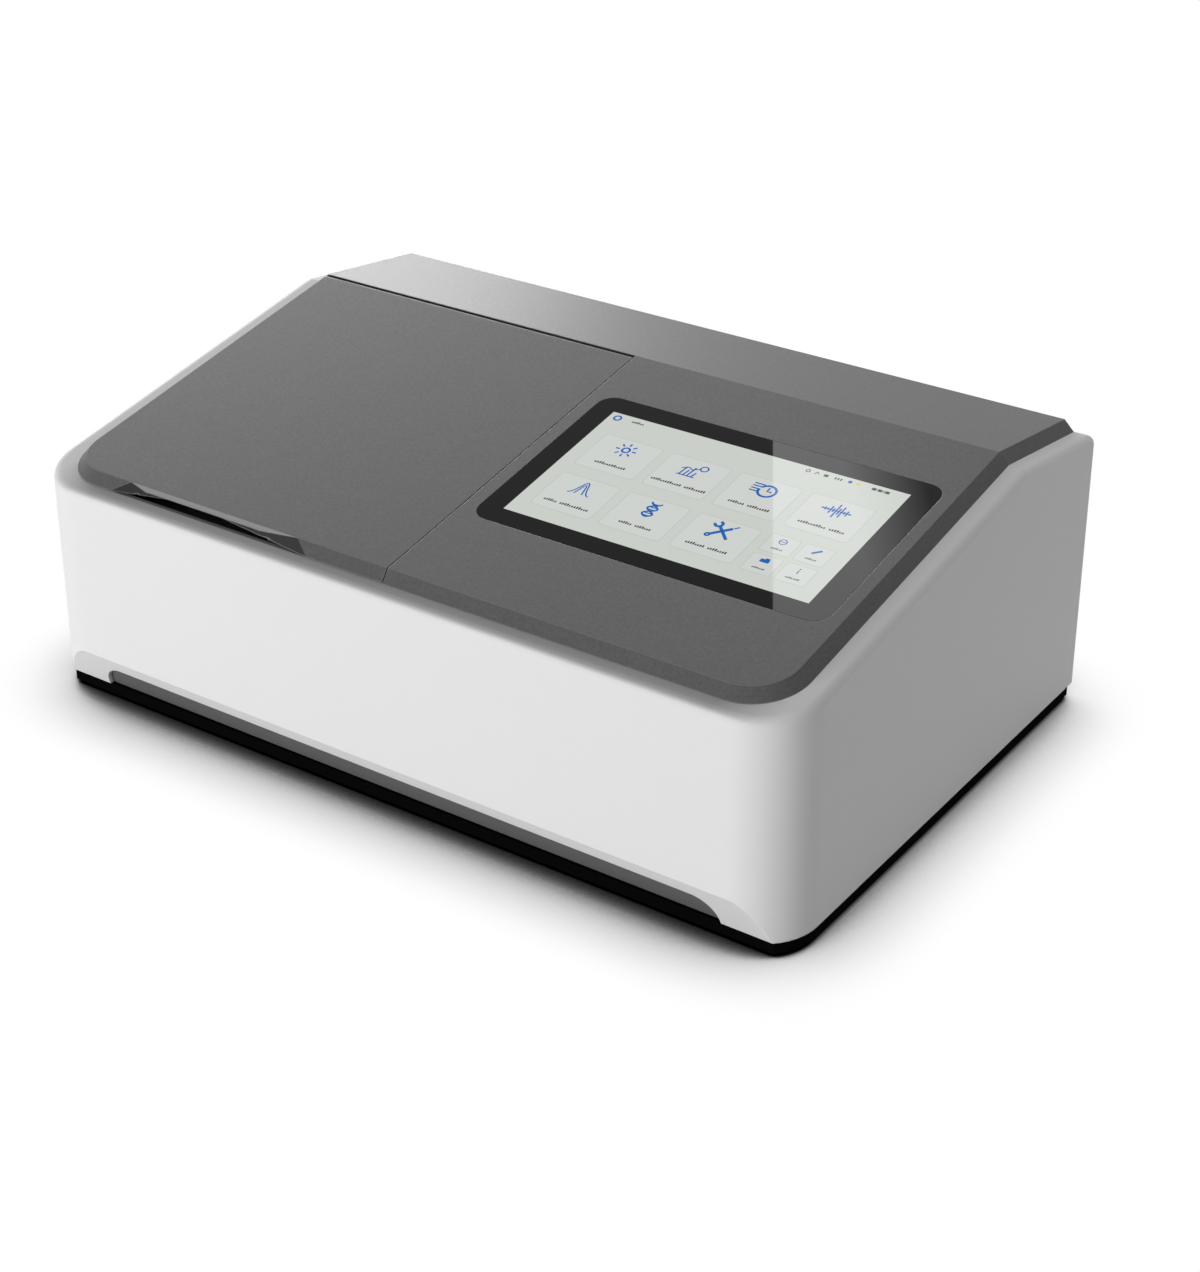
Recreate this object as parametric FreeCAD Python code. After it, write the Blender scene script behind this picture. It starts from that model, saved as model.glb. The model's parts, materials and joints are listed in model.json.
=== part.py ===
import FreeCAD, Part
import math
import os

# Double beam spectrophotometer for the laboratory bench.
# Frame: origin on the bench top under the middle of the casing, +X to the right,
# +Y to the back, +Z up. All lengths are millimetres, all angles degrees.

Vector = FreeCAD.Vector
X_AXIS = Vector(1, 0, 0)
Y_AXIS = Vector(0, 1, 0)
Z_AXIS = Vector(0, 0, 1)

# Casing
casing_width = 600.0
casing_depth = 396.0
casing_wall = 3.0
casing_lift = 12.0
front_corner_radius = 40.0
rear_corner_radius = 5.0
rim_radius = 6.0
foot_bevel_height = 27.0
foot_bevel_depth = 10.5
slot_end_setback = 49.0
slot_height = 18.3
slot_corner_radius = 18.0
casing_boss_radius = 5.0
casing_boss_inset = 12.0
casing_boss_height = 44.0

# Cover and lid planes
cover_front_setback = 16.2
cover_front_height = 174.1
cover_slope = 9.82
break_setback = 292.0
rear_slope = 7.9
cover_rear_setback = 391.0
cover_side_setback = 22.0
cover_corner_radius = 30.0
cover_wall = 3.0
skirt_bevel = 7.45
cover_seat_width = 6.0
seam_gap = 0.8
seam_offset = -1.0

# Sample lid
lid_clearance = 0.3
hinge_gap = 0.5
hinge_radius = 3.6
knuckle_radius = 1.9
knuckle_gap = 0.3
hinge_pin_radius = 1.0
hinge_pin_length = 34.0
hinge_knuckle_width = 20.0
hinge_side_gap = 0.4
hinge_offset = 104.0
lid_rib_depth = 2.4
lid_rib_width = 1.6
scoop_left = -219.0
scoop_right = -74.0
scoop_lip_left = -207.0
scoop_lip_right = -108.0
scoop_foot_left = -235.0
scoop_foot_right = -62.0
scoop_lip_drop = 4.9
scoop_flange = 2.4

# Display
glass_left = 10.0
glass_width = 259.0
glass_front = 71.0
glass_height = 157.5
glass_radius = 12.0
glass_thickness = 1.8
glass_gap = 0.3
glass_seat = 8.0
display_margin_x = 10.2
display_margin_front = 10.5
display_thickness = 5.9
display_tray_wall = 1.5
display_board_thickness = 1.6

# Base
pan_inset = 3.5
pan_bottom = 3.5
plinth_inset = 1.5
plinth_gap = 0.3
pan_sheet = 1.5
pan_wall_top = 28.0
foot_radius = 14.0
foot_inset_x = 48.0
foot_inset_y = 44.0
bar_thickness = 3.0
bar_gap = 0.3
screw_radius = 1.5
screw_head_radius = 3.2
screw_head_height = 2.0
screw_clearance = 0.25

# Optical bench
bench_side_gap = 25.0
bench_right = 154.0
bench_front = -165.0
bench_rear = 185.0
bench_bottom = 40.0
bench_thickness = 8.0
bench_rib_depth = 9.0
bench_rib_width = 5.0
bench_post_radius = 8.0
bench_post_inset = 22.0
beam_height = 108.0
beam_radius = 5.0

# Sample compartment
deck_thickness = 2.5
deck_leg_inset = 25.0
deck_leg_right = -30.0
deck_leg_rows = (-142.0, 4.0)
deck_leg_side = 8.0
tub_left = -215.0
tub_right = -65.0
tub_front = -150.0
tub_rear = -10.0
tub_wall = 3.0
gasket_height = 4.0
gasket_width = 5.0
window_radius = 10.0
window_thickness = 2.0
window_gap = 0.1
port_radius = 8.0
sample_row = -110.0
reference_row = -50.0
cell_centre_x = -140.0
carrier_thickness = 6.0
carrier_half_length = 40.0
carrier_half_width = 55.0
holder_side = 28.0
holder_top = 126.0
cuvette_side = 12.6
cuvette_floor = 93.0
cell_beam_width = 4.0
cell_beam_height = 14.0
finger_pocket_depth = 14.0
finger_pocket_reach = 27.0
finger_pocket_wall = 2.0

# Monochromator
mono_left = -135.0
mono_right = 75.0
mono_front = 52.0
mono_rear = 158.0
mono_top = 150.0
mono_wall = 4.0
entrance_row = 130.0
grating_x = 10.0
grating_y = 105.0
exit_row = 80.0
exit_x = 40.0
mirror_plane_x = -112.0
sine_arm_length = 60.0
screw_axis_height = 62.0
lead_screw_radius = 3.0
guide_rod_radius = 3.0
guide_rod_offset = 22.0
running_gap = 0.05
nut_half_length = 10.0
nut_half_height = 8.0
sine_pin_radius = 2.5
sine_pin_gap = 0.35
sine_pin_depth = 3.4
arm_gap = 0.5
slot_floor_gap = 0.4
grating_shaft_radius = 4.0
grating_table_radius = 20.0
grating_side = 30.0
grating_thickness = 8.0
scan_motor_side = 28.0
scan_motor_length = 32.0

# Filter wheel
wheel_row = 20.0
wheel_radius = 30.0
wheel_thickness = 4.0
wheel_pitch_radius = 22.0
filter_radius = 6.5
filter_count = 6
wheel_motor_radius = 13.0
wheel_motor_length = 22.0

# Lamp house
lamp_house_left = 82.0
lamp_house_right = 150.0
lamp_house_front = 70.0
lamp_house_rear = 190.0
lamp_house_wall = 2.0
source_x = 118.0
deuterium_y = 168.0
deuterium_radius = 14.0
halogen_y = 92.0
halogen_radius = 6.0

# Rear panel and what it carries
panel_thickness = 1.5
panel_left_setback = 38.0
panel_right_setback = 16.0
panel_bottom = 30.0
panel_top = 172.0
panel_overlap = 6.0
fan_setback = 64.0
fan_z = 100.0
fan_side = 80.0
fan_depth = 25.0
fan_bore_radius = 38.0
fan_tip_radius = 36.0
fan_hub_radius = 17.0
fan_blades = 7
fan_hole_pitch = 71.5
guard_wire = 0.8
panel_head_radius = 2.8
guard_radii = (9.0, 17.0, 25.0, 33.0)
inlet_setback = 129.0
inlet_z = 52.0
inlet_width = 30.0
inlet_height = 24.0
inlet_depth = 27.0
socket_width = 24.6
socket_height = 16.6
socket_depth = 20.0
socket_pin_recess = 5.0
switch_z = 92.0
fuse_z = 71.5
fuse_half_width = 10.0
fuse_half_height = 2.6
switch_width = 21.0
switch_height = 27.0
switch_depth = 24.0
rocker_width = 15.0
rocker_height = 21.0
rocker_angle = 14.0

# Main board and display board
board_side_gap = 32.0
board_width = 122.0
board_length = 170.0
board_rear_gap = 7.5
board_lift = 10.0
board_thickness = 1.6
board_margin = 6.0
board_solder = 0.2
spacer_radius = 3.0
spacer_sink = 0.5
chip_offset = (43.0, 64.0)
chip_side = 25.0
chip_height = 2.2
small_chip_offset = (78.0, 68.0)
small_chip_side = 14.0
small_chip_height = 1.6
header_offset = (8.0, 24.0)
header_length = 20.0
header_width = 8.0
header_height = 9.0
capacitor_offset = (16.0, 50.0)
capacitor_pitch = 12.0
capacitor_radius = 4.0
capacitor_height = 11.0
display_board_inset = 40.0
display_board_drop = 6.0
display_chip_offset = (30.0, 20.0)
display_chip_side = 20.0

# Data ports at the rear edge of the main board
port_depth = 17.5
port_gap = 0.4
port_stand_out = 0.5
port_wall = 0.7
flat_port_offsets = (22.0, 40.0)
flat_port_width = 14.0
flat_port_height = 7.0
flat_tongue_width = 11.0
flat_tongue_low = 3.4
flat_tongue_high = 5.2
square_port_offset = 62.0
square_port_width = 12.0
square_port_height = 11.0
square_port_wall = 1.5
square_tongue_width = 5.6
square_tongue_low = 4.0
square_tongue_high = 7.0
pin_port_offset = 94.0
pin_plate_width = 30.8
pin_plate_height = 12.5
pin_plate_thickness = 0.8
pin_body_width = 19.0
pin_body_height = 10.0
pin_skirt_top = 16.8
pin_skirt_low = 14.4
pin_skirt_height = 8.4
pin_skirt_wall = 0.7

# Power supply
supply_side_gap = 26.0
supply_width = 98.0
supply_front = -130.0
supply_length = 170.0
supply_height = 42.0
supply_wall = 1.5
supply_floor = 8.0
terminal_depth = 14.0
terminal_margin = 4.0
terminal_low = 16.0
vent_radius = 2.6
vent_pitch_x = 13.0
vent_pitch_y = 14.0

# Derived places
half_width = casing_width / 2
cover_half_width = half_width - cover_side_setback
slot_half_width = half_width - slot_end_setback
bench_left = -half_width + bench_side_gap
deck_leg_columns = (bench_left + deck_leg_inset, deck_leg_right)
panel_left = -half_width + panel_left_setback
panel_right = half_width - panel_right_setback
fan_x = half_width - fan_setback
inlet_x = half_width - inlet_setback
board_left = -half_width + board_side_gap
flat_port_x = tuple(board_left + offset for offset in flat_port_offsets)
square_port_x = board_left + square_port_offset
pin_port_x = board_left + pin_port_offset
supply_right = half_width - supply_side_gap
front_y = -casing_depth / 2
rear_y = casing_depth / 2
slope_tan = math.tan(math.radians(cover_slope))
slope_cos = math.cos(math.radians(cover_slope))
rear_tan = math.tan(math.radians(rear_slope))
rear_cos = math.cos(math.radians(rear_slope))
cover_front_y = front_y + cover_front_setback
break_y = front_y + break_setback
break_z = cover_front_height + (break_y - cover_front_y) * slope_tan
cover_rear_y = front_y + cover_rear_setback
slope_length = (break_y - cover_front_y) / slope_cos
strip_length = (cover_rear_y - break_y) / rear_cos
skirt_half_width = cover_half_width + skirt_bevel
bevel_tilt = math.atan2(foot_bevel_depth, foot_bevel_height)
bevel_run = math.tan(bevel_tilt)
bevel_corner_z = casing_lift + foot_bevel_height
bar_face_y = front_y + foot_bevel_depth + (casing_wall + bar_gap) / math.cos(bevel_tilt)
bar_depth = bar_thickness / math.cos(bevel_tilt)
pan_front_y = bar_face_y + bar_depth + bar_gap
bench_top = bench_bottom + bench_thickness
pan_floor = pan_bottom + pan_sheet
deck_drop = skirt_bevel + casing_wall
wall_y = rear_y - casing_wall
panel_y = wall_y - panel_thickness
board_rear = panel_y - board_rear_gap
board_top = bench_top + board_lift + board_thickness
port_front = panel_y - port_depth
boss_rows = (-142.0, 0.0, rear_y - 36.0)
far = 1000.0


# Plain solids


def block(x, y, z):
    """A box between pairs of x, y and z values."""
    return Part.makeBox(x[1] - x[0], y[1] - y[0], z[1] - z[0], Vector(x[0], y[0], z[0]))


def rod(radius, start, direction, length):
    """A cylinder from a start point along a direction."""
    return Part.makeCylinder(radius, length, Vector(*start), direction)


def prism(points, travel):
    """A closed polygon of points swept along a vector."""
    corners = [Vector(*point) for point in points]
    return Part.Face(Part.makePolygon(corners + corners[:1])).extrude(travel)


def profile_yz(points, x):
    """A polygon of (y, z) points swept from x[0] to x[1]."""
    return prism([(x[0], y, z) for y, z in points], Vector(x[1] - x[0], 0, 0))


def profile_xz(points, y):
    """A polygon of (x, z) points swept from y[0] to y[1]."""
    return prism([(px, y[0], pz) for px, pz in points], Vector(0, y[1] - y[0], 0))


def profile_xy(points, z):
    """A polygon of (x, y) points swept from z[0] to z[1]."""
    return prism([(px, py, z[0]) for px, py in points], Vector(0, 0, z[1] - z[0]))


def arc_point(centre_x, centre_y, radius, degrees, z):
    """A point on a circle in a level plane."""
    angle = math.radians(degrees)
    return Vector(centre_x + radius * math.cos(angle), centre_y + radius * math.sin(angle), z)


def rounded_block(x, y, z, front_radius, rear_radius):
    """A box with rounded upright corners, one radius for the front pair and one for the rear pair."""
    corners = (
        (x[0], y[0], front_radius, 1, 1, 180),
        (x[1], y[0], front_radius, -1, 1, 270),
        (x[1], y[1], rear_radius, -1, -1, 0),
        (x[0], y[1], rear_radius, 1, -1, 90),
    )
    edges = []
    last = None
    first = None
    for corner_x, corner_y, radius, side_x, side_y, start in corners:
        centre_x = corner_x + side_x * radius
        centre_y = corner_y + side_y * radius
        begin = arc_point(centre_x, centre_y, radius, start, z[0])
        if last is not None:
            edges.append(Part.LineSegment(last, begin).toShape())
        else:
            first = begin
        last = begin
        if radius > 0:
            middle = arc_point(centre_x, centre_y, radius, start + 45, z[0])
            last = arc_point(centre_x, centre_y, radius, start + 90, z[0])
            edges.append(Part.Arc(begin, middle, last).toShape())
    edges.append(Part.LineSegment(last, first).toShape())
    return Part.Face(Part.Wire(edges)).extrude(Vector(0, 0, z[1] - z[0]))


def joined(shapes):
    """Touching solids made into one."""
    body = shapes[0]
    for shape in shapes[1:]:
        body = body.fuse(shape)
    return body.removeSplitter()


def without(body, tools):
    """A solid with each tool taken out of it."""
    for tool in tools:
        body = body.cut(tool)
    return body


def moved(shape, placement):
    """A copy of a shape in another frame."""
    copy = shape.copy()
    copy.Placement = placement.multiply(copy.Placement)
    return copy


def turned(shape, centre, axis, angle):
    """A copy of a shape turned about an axis through a point."""
    copy = shape.copy()
    copy.rotate(Vector(*centre), axis, angle)
    return copy


def shifted(shape, x=0, y=0, z=0):
    """A copy of a shape moved by a distance."""
    copy = shape.copy()
    copy.translate(Vector(x, y, z))
    return copy


# Frames of the two top planes. In each, local z is 0 on the outer surface.
slope_frame = FreeCAD.Placement(
    Vector(0, cover_front_y, cover_front_height), FreeCAD.Rotation(X_AXIS, cover_slope)
)
strip_frame = FreeCAD.Placement(
    Vector(0, break_y, break_z), FreeCAD.Rotation(X_AXIS, -rear_slope)
)
mitre_frame = FreeCAD.Placement(
    Vector(0, break_y, break_z), FreeCAD.Rotation(X_AXIS, (cover_slope - rear_slope) / 2)
)


def on_slope(shape):
    """A shape drawn flat, laid in the frame of the sloping top."""
    return moved(shape, slope_frame)


def slope_point(x, along, height):
    """A world point from a place on the sloping top."""
    return slope_frame.multVec(Vector(x, along, height))


def ledge_height(y, offset):
    """Height of the top planes, offset inwards at right angles, at one y."""
    front = cover_front_height + (y - cover_front_y) * slope_tan - offset / slope_cos
    rear = break_z - (y - break_y) * rear_tan - offset / rear_cos
    return min(front, rear)


def ledge_break(offset):
    """Where the two offset planes meet."""
    return break_y + offset * (1 / slope_cos - 1 / rear_cos) / (slope_tan + rear_tan)


def plane_layer(placement, y, inset, top, bottom, front_radius):
    """A slab under one top plane, with its upper edges bevelled like the skirt."""
    half = skirt_half_width - inset
    deep = min(bottom, top - skirt_bevel - 2)
    slab = rounded_block((-half, half), y, (deep, top), front_radius, 0)
    upper = []
    for edge in slab.Edges:
        box = edge.BoundBox
        if box.ZMin > top - 0.01 and box.YMin < y[1] - 0.01:
            if front_radius > 0 or box.YLength > 1:
                upper.append(edge)
    slab = slab.makeChamfer(skirt_bevel, upper)
    slab = slab.common(block((-far, far), (-far, far), (bottom, top)))
    return moved(slab, placement)


def slope_layer(inset, top, bottom):
    """The sloping front plane of the top, up to the break line."""
    front = -skirt_bevel + inset
    radius = cover_corner_radius + skirt_bevel - inset
    slab = plane_layer(slope_frame, (front, slope_length + 40), inset, top, bottom, radius)
    behind = moved(block((-far, far), (0, far), (-far, far)), mitre_frame)
    return slab.cut(behind)


def strip_layer(inset, top, bottom, rear):
    """The strip behind the break line, cut off upright at the back."""
    slab = plane_layer(strip_frame, (-40, strip_length + 40), inset, top, bottom, 0)
    ahead = moved(block((-far, far), (-far, 0), (-far, far)), mitre_frame)
    back = block((-far, far), (rear, far), (0, far))
    return slab.cut(ahead).cut(back)


# Casing and base


def casing_profile(inset, offset, low):
    """Side outline of the casing as (y, z) points, inset from its walls and top planes."""
    bevel_shift = inset / math.cos(bevel_tilt)
    front = front_y + inset
    back = rear_y - inset
    turn_z = bevel_corner_z + (bevel_shift - inset) / bevel_run
    middle = ledge_break(offset)
    return (
        (front_y + bevel_shift + (bevel_corner_z - low) * bevel_run, low),
        (front, turn_z),
        (front, ledge_height(front, offset)),
        (middle, ledge_height(middle, offset)),
        (back, ledge_height(back, offset)),
        (back, low),
    )


def casing_bosses(low, high, radius):
    """Six upright cylinders along the side walls, where the screws from below go in."""
    rods = []
    for side in (-1, 1):
        for y in boss_rows:
            x = side * (half_width - casing_boss_inset)
            rods.append(rod(radius, (x, y, low), Z_AXIS, high - low))
    return rods


def slot_tool():
    """The long slot in the foot bevel, with quarter round upper corners."""
    slot = block(
        (-slot_half_width, slot_half_width),
        (front_y - 1, front_y + 25),
        (casing_lift - 10, casing_lift + slot_height),
    )
    corners = [
        edge
        for edge in slot.Edges
        if edge.BoundBox.YLength > 20 and edge.BoundBox.ZMin > casing_lift
    ]
    return slot.makeFillet(slot_corner_radius, corners)


def casing_shell():
    """White casing: walls, rounded rim, ledge under the cover, foot bevel and slot."""
    outline = rounded_block(
        (-half_width, half_width),
        (front_y, rear_y),
        (casing_lift, 300),
        front_corner_radius,
        rear_corner_radius,
    )
    body = outline.common(
        profile_yz(casing_profile(0, skirt_bevel, casing_lift - 6), (-far, far))
    )
    rim = []
    for edge in body.Edges:
        box = edge.BoundBox
        on_wall = (
            box.XMax > half_width - front_corner_radius - 1
            or box.XMin < -half_width + front_corner_radius + 1
        )
        level = box.ZMin > cover_front_height - 60
        upright = box.ZLength > 20 and box.YLength < 1
        across_break = abs(box.YMin - ledge_break(skirt_bevel)) < 1 and box.YLength < 1
        if on_wall and level and not upright and not across_break:
            rim.append(edge)
    body = body.makeFillet(rim_radius, rim)
    hollow = rounded_block(
        (-half_width + casing_wall, half_width - casing_wall),
        (front_y + casing_wall, rear_y - casing_wall),
        (-10, 300),
        front_corner_radius - casing_wall,
        rear_corner_radius - casing_wall,
    ).common(profile_yz(casing_profile(casing_wall, deck_drop, -10), (-far, far)))
    body = body.cut(hollow)
    seat = skirt_half_width - cover_seat_width
    opening = rounded_block(
        (-seat, seat),
        (cover_front_y - skirt_bevel + cover_seat_width, cover_rear_y - cover_seat_width),
        (casing_lift + 100, 300),
        cover_corner_radius + skirt_bevel - cover_seat_width,
        0,
    )
    pocket = finger_pocket(finger_pocket_wall + 0.3, 60)
    window = block(
        (panel_left + panel_overlap, panel_right - panel_overlap),
        (wall_y - 1, rear_y + 1),
        (panel_bottom + panel_overlap, panel_top - panel_overlap),
    )
    body = without(body, [opening, pocket, slot_tool(), window])
    ribs = []
    for side in (-1, 1):
        for y in boss_rows:
            inner = side * (half_width - casing_boss_inset)
            outer = side * (half_width - casing_wall / 2)
            ribs.append(
                block(
                    (min(inner, outer), max(inner, outer)),
                    (y - 1, y + 1),
                    (pan_wall_top + 2, casing_boss_height),
                )
            )
    posts = casing_bosses(pan_floor, casing_boss_height, casing_boss_radius)
    body = joined([body] + ribs + posts)
    return without(body, casing_bosses(pan_floor - 1, casing_boss_height - 6, screw_radius + 0.1))


def base_pan():
    """Black base pan with upright flanges, air slots and screw holes."""
    outline = (
        (-half_width + pan_inset, half_width - pan_inset),
        (pan_front_y, wall_y - 0.5),
    )
    radius = front_corner_radius - pan_inset
    pan = rounded_block(*outline, (pan_bottom, pan_wall_top), radius, rear_corner_radius)
    hollow = rounded_block(
        (outline[0][0] + pan_sheet, outline[0][1] - pan_sheet),
        (outline[1][0] + pan_sheet, outline[1][1] - pan_sheet),
        (pan_floor, pan_wall_top + 10),
        radius - pan_sheet,
        rear_corner_radius - pan_sheet,
    )
    plinth = rounded_block(
        (-half_width + plinth_inset, half_width - plinth_inset),
        (front_y + plinth_inset, wall_y - 0.5),
        (pan_bottom, casing_lift - plinth_gap),
        front_corner_radius - plinth_inset,
        rear_corner_radius,
    )
    front_room = block(
        (-far, far), (-far, front_y + foot_bevel_depth + plinth_inset), (-far, far)
    )
    pan = joined([pan, plinth.cut(front_room)])
    tools = [hollow]
    tools += casing_bosses(pan_bottom - 1, pan_floor + 1, screw_radius + screw_clearance)
    for column in range(10):
        x = 180 + column * 9
        tools.append(block((x, x + 3), (-60, 40), (pan_bottom - 1, pan_floor + 1)))
    for column in range(8):
        x = 88 + column * 8
        tools.append(block((x, x + 3), (110, 160), (pan_bottom - 1, pan_floor + 1)))
    return without(pan, tools)


def front_bar():
    """Dark bar behind the slot, lying along the inside of the foot bevel."""
    low = casing_lift
    high = casing_lift + slot_height + 3
    rise = (high - low) * bevel_run
    half = slot_half_width + 6
    outline = (
        (bar_face_y, low),
        (bar_face_y - rise, high),
        (bar_face_y - rise + bar_depth, high),
        (bar_face_y + bar_depth, low),
    )
    bar = profile_yz(outline, (-half, half))
    web = block(
        (-half + 4, half - 4), (bar_face_y + bar_depth - 3, pan_front_y), (low + 4, low + 7)
    )
    return joined([bar, web])


def feet():
    """Four rubber feet, each a short cone with a recess for its screw."""
    shapes = []
    for side in (-1, 1):
        for end in (-1, 1):
            x = side * (half_width - foot_inset_x)
            y = end * (casing_depth / 2 - foot_inset_y)
            foot = Part.makeCone(
                foot_radius - 1.5, foot_radius, pan_bottom, Vector(x, y, 0), Z_AXIS
            )
            recess = rod(4, (x, y, -1), Z_AXIS, 2.4)
            shapes.append(foot.cut(recess))
    return Part.makeCompound(shapes)


def pan_screws():
    """Six screws that hold the casing to the base pan."""
    heads = casing_bosses(pan_bottom - screw_head_height, pan_bottom, screw_head_radius)
    shanks = casing_bosses(pan_bottom - 0.5, casing_boss_height - 12, screw_radius)
    return Part.makeCompound([joined([head, shank]) for head, shank in zip(heads, shanks)])


# Cover, lid and display


def seam_x(side):
    """The edge of the seam between lid and cover: side -1 for the lid, 1 for the cover."""
    return seam_offset + side * seam_gap / 2


def top_cover():
    """Right hand panel and rear strip in one moulding, with the pocket for the glass."""
    bevel_inset = cover_wall * (math.sqrt(2) - 1)
    right = block((seam_x(1), far), (-far, far), (0, far))
    panel = slope_layer(0, 0, -skirt_bevel).common(right)
    lid_room = on_slope(block((-far, seam_x(1)), (-far, slope_length), (-far, far)))
    strip = strip_layer(0, 0, -skirt_bevel, cover_rear_y).cut(lid_room)
    outer = joined([panel, strip])
    right_inside = block((seam_x(1) + cover_wall, far), (-far, far), (0, far))
    panel_hollow = slope_layer(bevel_inset, -cover_wall, -skirt_bevel - 10).common(right_inside)
    strip_hollow = strip_layer(
        bevel_inset, -cover_wall, -skirt_bevel - 10, cover_rear_y - cover_wall
    )
    gap_wall = on_slope(
        block((-far, seam_x(1)), (-far, slope_length + cover_wall), (-far, far))
    )
    body = outer.cut(panel_hollow).cut(strip_hollow.cut(gap_wall))
    seam_wall = on_slope(
        block(
            (seam_x(1), seam_x(1) + cover_wall),
            (14, slope_length + cover_wall),
            (-deck_drop, -1),
        )
    )
    hinge_wall = on_slope(
        block(
            (-skirt_half_width + cover_seat_width + 2, seam_x(1) + cover_wall),
            (slope_length + 0.2, slope_length + cover_wall),
            (-deck_drop, -skirt_bevel + 2),
        )
    )
    ribs = []
    for x in (60, 120, 180, 240):
        rib = on_slope(block((x, x + 2), (232, slope_length), (-6, -cover_wall + 0.5)))
        ribs.append(rib)
    body = joined([body, seam_wall, hinge_wall] + ribs)
    pocket = on_slope(
        rounded_block(
            (glass_left - glass_gap, glass_left + glass_width + glass_gap),
            (glass_front - glass_gap, glass_front + glass_height + glass_gap),
            (-glass_thickness, 5),
            glass_radius + glass_gap,
            glass_radius + glass_gap,
        )
    )
    window = on_slope(
        block(
            (glass_left + glass_seat, glass_left + glass_width - glass_seat),
            (glass_front + glass_seat, glass_front + glass_height - glass_seat),
            (-20, 5),
        )
    )
    return without(body, [pocket, window])


def finger_pocket(wall, lift):
    """The pocket behind the ledge under the scoop, grown by a wall and raised by a lift."""
    rear = finger_pocket_reach - skirt_bevel
    return on_slope(
        block(
            (scoop_foot_left + 6 - wall, scoop_foot_right - 6 + wall),
            (-skirt_bevel + 1.3 + finger_pocket_wall - wall, rear + wall),
            (-skirt_bevel - finger_pocket_depth - wall, -skirt_bevel - 0.2 + lift),
        )
    )


def scoop_tool(deep, low):
    """The scoop in the lid's front edge: slanted ends that rise from the skirt foot to the lip."""
    foot = (-skirt_bevel, -skirt_bevel)
    ends = []
    for top_x, lip_x, foot_x in (
        (scoop_left, scoop_lip_left, scoop_foot_left),
        (scoop_right, scoop_lip_right, scoop_foot_right),
    ):
        fall = (lip_x - top_x) / scoop_lip_drop
        reach = (foot_x - top_x - fall * -foot[1]) / foot[0]
        ends.append((top_x, fall, reach))

    def end_x(end, along, height):
        top_x, fall, reach = end
        return top_x - fall * height + reach * along

    high = 6.0
    faces = []
    for along in (-20.0, deep):
        corners = (
            (end_x(ends[0], along, high), along, high),
            (end_x(ends[0], along, low), along, low),
            (end_x(ends[1], along, low), along, low),
            (end_x(ends[1], along, high), along, high),
        )
        points = [Vector(*corner) for corner in corners]
        faces.append(Part.makePolygon(points + points[:1]))
    return Part.makeLoft(faces, True, True)


def hinge_centres():
    """The x of the middle of each hinge knuckle."""
    middle = (seam_x(-1) - cover_half_width) / 2
    return (middle - hinge_offset, middle + hinge_offset)


hinge_along = slope_length - hinge_gap - hinge_radius


def sample_lid():
    """Sample lid: a ribbed shell with a bevelled skirt, a finger scoop and a round hinge edge."""
    bevel_inset = cover_wall * (math.sqrt(2) - 1)
    skirt_foot = -skirt_bevel + lid_clearance
    left = block((-far, seam_x(-1)), (-far, far), (0, far))
    hinge_end = on_slope(block((-far, far), (hinge_along, far), (-far, far)))
    outer = slope_layer(0, 0, skirt_foot).common(left).cut(hinge_end)
    inside = on_slope(
        block((-far, seam_x(-1) - cover_wall), (-far, hinge_along - 5), (-far, far))
    )
    hollow = slope_layer(bevel_inset, -cover_wall, -20).common(inside)
    shell = outer.cut(hollow)
    ribs = []
    for along in (60, 120, 180, 240):
        ribs.append(
            block(
                (-cover_half_width + 3, seam_x(-1) - 2),
                (along, along + lid_rib_width),
                (-cover_wall - lid_rib_depth, -cover_wall + 0.5),
            )
        )
    rib_body = on_slope(joined(ribs)).cut(on_slope(liner_space()))
    lip_block = on_slope(
        block(
            (scoop_foot_left - 4, scoop_foot_right + 4),
            (-2, scoop_flange),
            (-skirt_bevel + lid_clearance, -1),
        )
    ).common(slope_layer(0.2, -0.2, skirt_foot))
    hinge_rod = rod(
        hinge_radius,
        slope_point(-cover_half_width, hinge_along, -hinge_radius),
        X_AXIS,
        seam_x(-1) + cover_half_width,
    )
    foot_fill = on_slope(
        block(
            (-cover_half_width + 1, seam_x(-1)),
            (hinge_along - 6, hinge_along),
            (-hinge_radius - 2, -1),
        )
    )
    body = joined([shell, rib_body, lip_block, hinge_rod, foot_fill])
    front_cut = on_slope(scoop_tool(0.0, -skirt_bevel - 3))
    under_cut = on_slope(
        scoop_tool(scoop_flange + 1.6, -skirt_bevel - 3).common(
            block((-far, far), (-far, 8), (-far, -scoop_lip_drop))
        )
    )
    tools = [front_cut, under_cut]
    for x in hinge_centres():
        reach = hinge_knuckle_width / 2 + hinge_side_gap
        across = (x - reach, x + reach)
        start = slope_point(across[0], hinge_along, -hinge_radius)
        tools.append(rod(knuckle_radius + knuckle_gap, start, X_AXIS, 2 * reach))
        tools.append(on_slope(block(across, (hinge_along - 9, far), (-20, -hinge_radius))))
        tools.append(on_slope(block(across, (hinge_along - 9, hinge_along), (-20, -cover_wall))))
        tools.append(
            rod(
                hinge_pin_radius + running_gap,
                slope_point(x - hinge_pin_length / 2 - 0.5, hinge_along, -hinge_radius),
                X_AXIS,
                hinge_pin_length + 1,
            )
        )
    return without(body, tools)


def liner_space():
    """Room for the liner between the ribs of the lid, drawn flat."""
    return block(
        (tub_left - 22, tub_right + 22), (liner_front - 2, liner_rear + 2), (-20, 0)
    )


gasket_top = -deck_drop + gasket_height
liner_front = (tub_front - cover_front_y) / slope_cos - 12
liner_rear = (tub_rear - cover_front_y) / slope_cos + 12


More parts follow.
